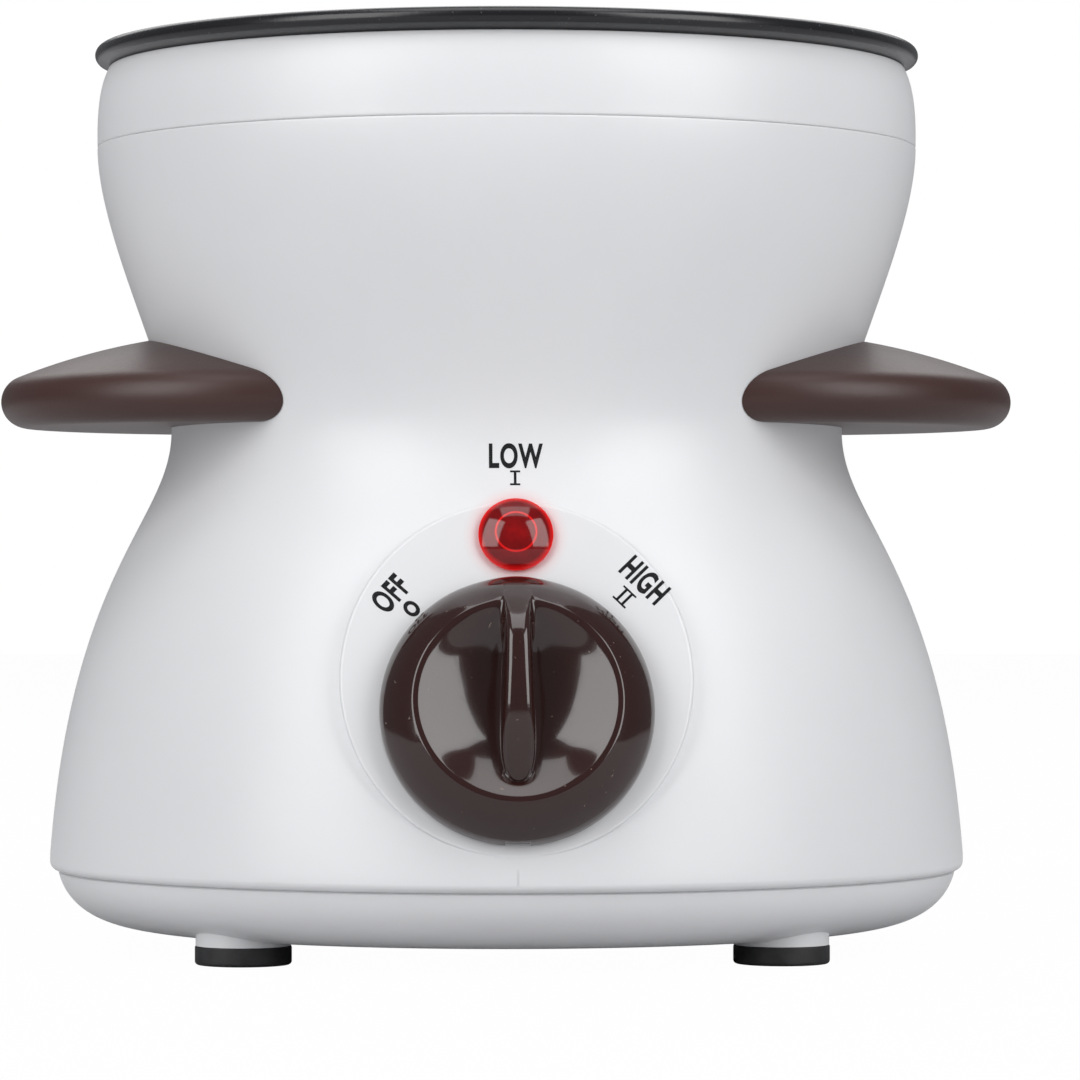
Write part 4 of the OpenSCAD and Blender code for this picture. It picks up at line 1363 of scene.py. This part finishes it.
@dataclass
class Knob(SubAssembly):
    """The glossy brown knob: a skirt, a round shoulder, a hollow bowl and a fin across it."""

    housing: Housing
    drop: float = 4.7 * MM
    skirt_r: float = 18.2 * MM
    lift: float = 0.6 * MM
    skirt_h: float = 2.3 * MM
    skirt_wall: float = 1.8 * MM
    ring_r: float = 13.1 * MM
    ring_h: float = 7.1 * MM
    lip: float = 0.7 * MM
    bowl_depth: float = 3.4 * MM
    grip_h: float = 11.2 * MM
    grip_top_w: float = 3.5 * MM
    grip_end_w: float = 4.9 * MM
    grip_end_y: float = -11.05 * MM
    grip_end_rise: float = 0.6 * MM
    grip_end_round: float = 0.9 * MM
    grip_end_share: float = 0.72
    summit_y: float = 4.7 * MM
    arch_r: float = 26 * MM
    bend_y: float = 8.3 * MM
    bend_r: float = 7 * MM
    rows: int = 4
    shoulder_rows: int = 4
    levels: int = 3
    rim_crease: float = 0.6
    root_crease: float = 0.85
    skirt_crease: float = 1.0
    shoulder_bulge: float = 0.35 * MM
    fade_rise: float = 0.35 * MM
    crest_w_share: float = 0.84
    flank_w_share: float = 0.97
    flank_h_share: float = 0.62
    gate_w: float = 3.4 * MM
    gate_depth: float = 0.3 * MM
    least_up: float = 0.3
    smooth_angle: float = math.radians(50)

    def bowl_z(self, x: float, y: float) -> float:
        """The height of the bowl's surface over a place."""
        bowl_r = (self.ring_r**2 + self.bowl_depth**2) / (2 * self.bowl_depth)
        middle = self.ring_h - self.bowl_depth + bowl_r
        return middle - math.sqrt(bowl_r**2 - x * x - y * y)

    def grip_half(self, y: float) -> float:
        """Half the width of the fin at its root."""
        end_y = self.grip_end_y + self.grip_end_w / 2
        share = (y - end_y) / (self.ring_r - end_y)
        return (self.grip_end_w + share * (self.grip_top_w - self.grip_end_w)) / 2

    def crest_z(self, y: float) -> float:
        """The height of the fin's crest: a long arch that rounds off more tightly at its upper end.

        Args:
            y: The place along the fin.

        Returns:
            The height over the knob's foot.
        """
        along = min(y, self.bend_y) - self.summit_y
        level = math.sqrt(self.arch_r**2 - along**2)
        drop = self.arch_r - level
        if y > self.bend_y:
            lean = along / self.arch_r + (y - self.bend_y) / self.bend_r
            drop += self.bend_r * (level / self.arch_r - math.sqrt(1 - min(lean, 1) ** 2))
        return self.grip_h - drop

    def cage_place(self, i: int, j: int) -> Vector:
        """Where a vertex of the bowl's cage lies.

        Args:
            i: Its column, counted from the middle.
            j: Its row, counted from the middle.

        Returns:
            Its place in the knob's own frame.
        """
        level = max(abs(i), abs(j))
        if level == 0:
            return Vector((0, 0, self.bowl_z(0, 0)))
        reach = self.ring_r * level / self.rows
        if abs(j) == level:
            turn = math.radians(90 - 45 * i / level)
            x, y = reach * math.cos(turn), math.copysign(reach * math.sin(turn), j)
        else:
            turn = math.radians(45 * j / level)
            x, y = math.copysign(reach * math.cos(turn), i), reach * math.sin(turn)
        if j == 1 - self.rows and abs(i) <= 1:
            y = self.grip_end_y + (self.grip_end_round if i else 0)
        if abs(i) == 1:
            x = math.copysign(self.grip_half(y), i) * (self.grip_end_share if j == 1 - self.rows else 1)
        if level == self.rows:
            y = math.copysign(math.sqrt(max(self.ring_r**2 - x * x, 0)), y) if abs(j) == level else y
        return Vector((x, y, self.bowl_z(x, y) if level < self.rows else self.ring_h))

    def cage(self) -> Thing:
        """The coarse cage of the knob's front: a grid for the bowl, and rings round it."""
        count = 2 * self.rows
        bpy.ops.object.select_all(action="DESELECT")
        bpy.ops.mesh.primitive_grid_add(x_subdivisions=count, y_subdivisions=count, size=count)
        cage = new_piece("knob_cap")
        for vertex in cage.data.vertices:
            vertex.co = self.cage_place(round(vertex.co.x), round(vertex.co.y))
        pick_edges(cage, lambda a, b: min(a.xy.length, b.xy.length) > self.ring_r - WELD)
        shoulder_w = self.skirt_r - self.ring_r - self.lip
        shoulder_h = self.ring_h - self.skirt_h
        rings = []
        for k in range(self.shoulder_rows + 1):
            share = k / self.shoulder_rows
            bulge = 4 * self.shoulder_bulge * share * (1 - share)
            rings.append(
                (
                    self.ring_r + self.lip + shoulder_w * share + bulge,
                    self.ring_h - shoulder_h * share + bulge,
                )
            )
        inner_r = self.skirt_r - self.skirt_wall
        rings += [(self.skirt_r, self.lift), (inner_r, self.lift), (inner_r, self.skirt_h)]
        with editing(cage, "EDGE"):
            r, z = self.ring_r, self.ring_h
            for next_r, next_z in rings:
                bpy.ops.mesh.extrude_edges_move(TRANSFORM_OT_translate={"value": (0, 0, next_z - z)})
                bpy.ops.transform.resize(value=(next_r / r, next_r / r, 1), center_override=(0, 0, next_z))
                r, z = next_r, next_z
            bpy.ops.mesh.edge_face_add()
        return cage

    def raise_grip(self, cage: Thing) -> None:
        """Extrudes the fin in two steps out of the bowl's middle columns, and the lip and shoulder above.

        Args:
            cage: The knob's cage.
        """
        lip_y = self.ring_r + self.lip
        fade_y = lip_y + (self.skirt_r - lip_y) / self.shoulder_rows
        limit = self.grip_end_w / 2

        def in_grip(face: bpy.types.MeshPolygon) -> bool:
            """Whether a face belongs to the fin's foot."""
            x, y, _ = face.center
            return abs(x) < limit and self.grip_end_y < y < fade_y and face.normal.z > self.least_up

        pick(cage, "polygons", [in_grip(face) for face in cage.data.polygons])
        layer = 2 * self.grip_h
        with editing(cage, "FACE"):
            for _ in range(2):
                bpy.ops.mesh.extrude_region_move(TRANSFORM_OT_translate={"value": (0, 0, layer)})
        for vertex in cage.data.vertices:
            steps = round((vertex.co.z - self.ring_h / 2) / layer)
            if steps:
                place = vertex.co
                foot = place.z - steps * layer
                crest = max(self.crest_z(place.y), foot + self.grip_end_rise)
                if place.y > self.ring_r + self.lip / 2:
                    crest = foot + (self.fade_rise if place.y < lip_y + self.lip / 2 else WELD)
                place.z = foot + (crest - foot) * (1 if steps == 2 else self.flank_h_share)
                place.x *= self.crest_w_share if steps == 2 else self.flank_w_share

    def crease_cage(self, cage: Thing) -> None:
        """Keeps the fin's root, the two edges of the flat lip and the skirt's lower edges crisp.

        Args:
            cage: The knob's cage.
        """
        slack = 0.05 * MM

        def at_root(p: Vector) -> bool:
            """Whether a vertex lies on the line between bowl and fin."""
            on_bowl = p.xy.length < self.ring_r - slack and abs(p.z - self.bowl_z(p.x, p.y)) < slack
            return on_bowl and self.grip_end_y - slack < p.y and abs(p.x) < self.grip_half(p.y) + slack

        def at_lip(p: Vector) -> bool:
            """Whether a vertex lies on one of the lip's two edges, beside the fin."""
            return abs(p.z - self.ring_h) < slack and p.xy.length < self.ring_r + self.lip + slack

        def level_pair(a: Vector, b: Vector) -> bool:
            """Whether two vertices lie equally far out."""
            return abs(a.xy.length - b.xy.length) < slack

        def root_pair(a: Vector, b: Vector) -> bool:
            """Whether an edge lies along the fin's root, and not across its middle."""
            return at_root(a) and at_root(b) and max(abs(a.x), abs(b.x)) > slack

        crease(cage, root_pair, self.root_crease)
        crease(cage, lambda a, b: at_lip(a) and at_lip(b) and level_pair(a, b), self.rim_crease)
        crease(cage, lambda a, b: max(a.z, b.z) < self.lift + slack and level_pair(a, b), self.skirt_crease)

    def build(self) -> None:
        """Makes the cage, raises the fin, creases the edges, subdivides it and notches the skirt."""
        cage = self.cage()
        self.raise_grip(cage)
        self.crease_cage(cage)
        apply_modifier(cage, "SUBSURF", levels=self.levels, render_levels=self.levels)
        shrink = (2 + math.cos(math.tau / (8 * self.rows))) / 3
        settle(cage, Matrix.Diagonal((1 / shrink, 1 / shrink, 1, 1)))
        gate_size = (self.gate_w, 2 * self.gate_depth, self.skirt_h)
        combine(cage, block("gate_mark", (0, -self.skirt_r, self.skirt_h / 2), gate_size), Cut.REMOVE)
        settle(cage, self.housing.dial_frame(-self.drop))
        smooth(cage, self.smooth_angle)
        self.keep(cage, Body.KNOB, BROWN_GLOSS, "knob")


@dataclass
class Lens(SubAssembly):
    """The clear red cap over the indicator lamp."""

    housing: Housing
    edge_h: float = 0.7 * MM
    height: float = 2.4 * MM
    stem_r: float = 3.5 * MM
    stem_l: float = 9 * MM
    bore_r: float = 2.7 * MM
    edge_round: float = 0.25 * MM

    def build(self) -> None:
        """Turns the cap and stands it on the face."""
        rise = self.height - self.edge_h
        crown_r = (self.housing.lens_r**2 + rise**2) / (2 * rise)
        edge = math.degrees(math.asin(self.housing.lens_r / crown_r))
        low = self.edge_round
        outline = [(self.bore_r, -self.stem_l), (self.stem_r, -self.stem_l), (self.stem_r, 0)]
        outline += arc((self.housing.lens_r - low, low), low, -90, 0, EDGE_STEPS)
        outline += arc((0, self.height - crown_r), crown_r, 90 - edge, 90, steps=24)[:-1]
        outline += [(0, self.height), (0, self.edge_h), (self.bore_r, self.edge_h), outline[0]]
        cap = lathe("indicator_cap", outline, steps=128)
        here = self.housing.dial_frame(self.housing.lens_rise)
        settle(cap, here)
        smooth(cap)
        out = self.housing.dial_out()
        finish = RedLens(Slot.RED_LENS, here.translation, out, self.housing.lens_r, self.bore_r)
        self.keep(cap, Body.BASE, finish, "indicator_lens")


@dataclass
class Mark:
    """One printed word, or a serif numeral with that many uprights, on the dial."""

    name: str
    text: str
    x: float
    y: float
    turn: float
    height: float
    width_share: float
    uprights: int = 0


@dataclass
class Lettering(SubAssembly):
    """Plain words and numerals for the three settings, printed round the knob."""

    housing: Housing
    ink_h: float = 0.02 * MM
    cap_share: float = 0.7
    heavier: float = 0.15 * MM
    letter_space: float = 1.12
    wrap_depth: float = 10 * MM
    upright_w: float = 0.36 * MM
    serif_h: float = 0.26 * MM
    serif_over: float = 0.5 * MM
    pitch: float = 0.95 * MM
    on_face: tuple[Mark, ...] = (
        Mark("off_word", "OFF", -16.6 * MM, 11.5 * MM, 48, 3.1 * MM, 0.6),
        Mark("off_numeral", "O", -13.8 * MM, 9.5 * MM, 48, 2.1 * MM, 0.75),
        Mark("high_word", "HIGH", 17.0 * MM, 13.4 * MM, -45, 3.1 * MM, 0.6),
        Mark("high_numeral", "II", 14.4 * MM, 11.2 * MM, -45, 2.3 * MM, 0.9, 2),
    )
    on_wall: tuple[Mark, ...] = (
        Mark("low_word", "LOW", 0.0, 68.8 * MM, 0, 3.1 * MM, 0.66),
        Mark("low_numeral", "I", 0.0, 66.0 * MM, 0, 2.0 * MM, 0.9, 1),
    )

    def letters(self, mark: Mark, depth: float) -> Thing:
        """Solid letters lying in the plane of x and y, centred on the origin.

        Args:
            mark: What they say and how large they are.
            depth: How thick they are.

        Returns:
            The letters as a mesh.
        """
        bpy.ops.object.select_all(action="DESELECT")
        bpy.ops.object.text_add()
        text = bpy.context.active_object
        text.name = mark.name
        text.data.body = mark.text
        text.data.size = mark.height / self.cap_share
        text.data.align_x = "CENTER"
        text.data.align_y = "CENTER"
        text.data.extrude = depth / 2
        text.data.offset = self.heavier
        text.data.space_character = self.letter_space
        bpy.ops.object.convert(target="MESH")
        letters = new_piece(mark.name)
        letters.scale.x = mark.width_share
        settle(letters)
        weld(letters)
        return letters

    def numeral(self, mark: Mark, depth: float) -> Thing:
        """A serif numeral: uprights between two level bars.

        Args:
            mark: How tall it is and how many uprights it has.
            depth: How thick it is.

        Returns:
            The numeral as a mesh, centred on the origin.
        """
        span = (mark.uprights - 1) * self.pitch
        bars = [((i * self.pitch - span / 2, 0), (self.upright_w, mark.height)) for i in range(mark.uprights)]
        level = (mark.height - self.serif_h) / 2
        serif = (span + self.upright_w + 2 * self.serif_over, self.serif_h)
        bars += [((0, -level), serif), ((0, level), serif)]
        whole = None
        for (x, y), (width, height) in bars:
            bar = block(mark.name, (x, y, 0), (width, height, depth))
            if whole is None:
                whole = bar
            else:
                combine(whole, bar, Cut.ADD)
        return whole

    def shape(self, mark: Mark, depth: float) -> Thing:
        """The mark as a numeral or as letters of that depth."""
        return self.numeral(mark, depth) if mark.uprights else self.letters(mark, depth)

    def build(self) -> None:
        """Lays the words on the flat face and wraps the upper ones round the wall."""
        face = self.housing.dial_frame()
        for mark in self.on_face:
            letters = self.shape(mark, 2 * self.ink_h)
            turn = Matrix.Rotation(math.radians(mark.turn), 4, "Z")
            settle(letters, face @ Matrix.Translation((mark.x, mark.y, 0)) @ turn)
            self.keep(letters, Body.BASE, INK)
        for mark in self.on_wall:
            letters = self.shape(mark, self.wrap_depth)
            upright = Matrix.Rotation(math.radians(90), 4, "X")
            out = -radius_at(self.housing.side(), mark.y)
            settle(letters, Matrix.Translation((mark.x, out, mark.y)) @ upright)
            combine(letters, self.housing.core("ink_skin", self.ink_h), Cut.KEEP_INSIDE)
            combine(letters, self.housing.core("under_skin", -self.ink_h), Cut.REMOVE)
            self.keep(letters, Body.BASE, INK)


@dataclass
class InnerParts(SubAssembly):
    """What the housing holds, and its bush: the frame's own nodes, each with its finish."""

    steel: tuple[str, ...] = (
        "base_screws", "handle_screws", "heater_clamp", "heater_nuts", "thermostat_screws", "thermal_fuse",
        "fuse_strap", "lens_retainer", "switch_screws", "terminal_screws", "knob_clip", "switch_shaft",
    )

    def build(self) -> None:
        """Nothing is modelled: each node stays as it is, with its metal, plastic, rubber, mica or glass."""
        finishes = {
            ZINC_STEEL: self.steel,
            BLACK_PLASTIC: ("switch_body", "thermostat"),
            BLACK_RUBBER: ("cord_bush",),
            WHITE: ("terminal_block",),
            MICA: ("heater_element",),
            LAMP_GLASS: ("neon_lamp",),
            DRAWN_ALUMINIUM: ("heating_plate",),
        }
        for finish, names in finishes.items():
            self.pieces[finish] = [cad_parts[name] for name in names]
            log.info("%s: %s", finish.slot.value, ", ".join(names))


@dataclass(frozen=True)
class SoftBox:
    """A lamp that faces the object.

    Attributes:
        name: The lamp's name.
        azimuth: How far it stands to the right of the camera, in degrees.
        elevation: How high it stands, in degrees.
        width: Its width.
        height: Its height.
        power: Its power in watts.
    """

    name: str
    azimuth: float
    elevation: float
    width: float
    height: float
    power: float


@dataclass
class Studio:
    """Plain pale floor, white backdrop, four soft boxes and the camera."""

    eye_r: float = 747 * MM
    eye_z: float = 52.1 * MM
    eye_azimuth: float = -1.3
    image_px: float = 1080
    focal_px: float = 5206
    axis_px: float = 506.75
    horizon_px: float = 581.6
    sensor: float = 36
    clip_start: float = 0.01
    floor_size: float = 6.0
    box_distance: float = 1.25
    white: tuple[float, ...] = (1, 1, 1, 1)
    floor_colour: tuple[float, ...] = (0.55, 0.55, 0.56, 1)
    floor_white_share: float = 0.985
    room_colour: tuple[float, ...] = (0.93, 0.95, 1, 1)
    room_strength: float = 0.18
    target: tuple[float, float, float] = (0, 0, 60 * MM)
    boxes: tuple[SoftBox, ...] = (
        SoftBox("left_box", -48, 25.7, 0.74, 1.1, 9.6),
        SoftBox("right_box", 48, 25.7, 0.74, 1.1, 9.6),
        SoftBox("top_box", 0, 80, 0.95, 0.85, 5.8),
        SoftBox("rear_box", 180, 42, 1.3, 0.9, 6.0),
    )

    def camera(self) -> None:
        """Sets the camera where the photograph was taken from."""
        bpy.ops.object.camera_add()
        camera = bpy.context.active_object
        turn = math.radians(self.eye_azimuth)
        middle = self.image_px / 2
        yaw = math.atan((middle - self.axis_px) / self.focal_px)
        pitch = math.atan((self.horizon_px - middle) / self.focal_px)
        camera.location = (self.eye_r * math.sin(turn), -self.eye_r * math.cos(turn), self.eye_z)
        camera.rotation_euler = (math.pi / 2 + pitch, 0, turn - yaw)
        camera.data.sensor_width = self.sensor
        camera.data.lens = self.focal_px / self.image_px * self.sensor
        camera.data.clip_start = self.clip_start
        bpy.context.scene.camera = camera

    def hang(self, box: SoftBox) -> None:
        """Hangs a soft box on a sphere round the object.

        Args:
            box: The soft box.
        """
        side, rise = math.radians(box.azimuth), math.radians(box.elevation)
        away = Vector((math.sin(side) * math.cos(rise), -math.cos(side) * math.cos(rise), math.sin(rise)))
        bpy.ops.object.light_add(type="AREA", location=Vector(self.target) + self.box_distance * away)
        lamp = bpy.context.active_object
        lamp.name = box.name
        lamp.rotation_euler = away.to_track_quat("Z", "Y").to_euler()
        lamp.data.shape = "RECTANGLE"
        lamp.data.size, lamp.data.size_y = box.width, box.height
        lamp.data.energy = box.power

    def floor(self) -> None:
        """Lays a floor that the camera sees as white, with a trace of the object's soft shadow."""
        bpy.ops.object.select_all(action="DESELECT")
        bpy.ops.mesh.primitive_plane_add(size=self.floor_size)
        floor = new_piece("floor")
        tree = ShaderTree(bpy.data.materials.new("pale_floor"))
        seen = tree.node("ShaderNodeLightPath", output="Is Camera Ray")
        plain = tree.node("ShaderNodeBsdfDiffuse", None, {"Color": self.floor_colour})
        white = tree.node("ShaderNodeEmission", None, {"Color": self.white})
        share = seen * self.floor_white_share
        tree.end(tree.node("ShaderNodeMixShader", None, {0: share, 1: plain, 2: white}))
        floor.data.materials.append(tree.owner)

    def backdrop(self) -> None:
        """A world that the camera sees as white, also through glass, and that lights as a dim room."""
        tree = ShaderTree(bpy.data.worlds.new("studio"))
        bpy.context.scene.world = tree.owner
        seen = tree.node("ShaderNodeLightPath", output="Is Camera Ray")
        through = tree.node("ShaderNodeLightPath", output="Is Transmission Ray")
        white = tree.node("ShaderNodeBackground", None, {"Color": self.white})
        dim = {"Color": self.room_colour, "Strength": self.room_strength}
        room = tree.node("ShaderNodeBackground", None, dim)
        tree.end(tree.node("ShaderNodeMixShader", None, {0: seen.greatest(through), 1: room, 2: white}))

    def build(self) -> None:
        """Sets up the camera, the lamps, the floor and the backdrop."""
        self.camera()
        for box in self.boxes:
            self.hang(box)
        self.floor()
        self.backdrop()
        bpy.context.scene.view_settings.view_transform = "Standard"


def main() -> None:
    """Builds and dresses every sub-assembly."""
    logging.basicConfig(level=logging.INFO, format="%(name)s: %(message)s")
    Studio().build()
    housing = Housing()
    collar = Collar(housing)
    assemblies: list[SubAssembly] = [
        housing,
        collar,
        BasePan(housing),
        Handles(housing),
        Pot(housing, collar),
        Knob(housing),
        Lens(housing),
        Lettering(housing),
        InnerParts(),
    ]
    for assembly in assemblies:
        assembly.build()
        assembly.dress()
        log.info("%s is done", type(assembly).__name__)


if __name__ == "__main__":
    main()
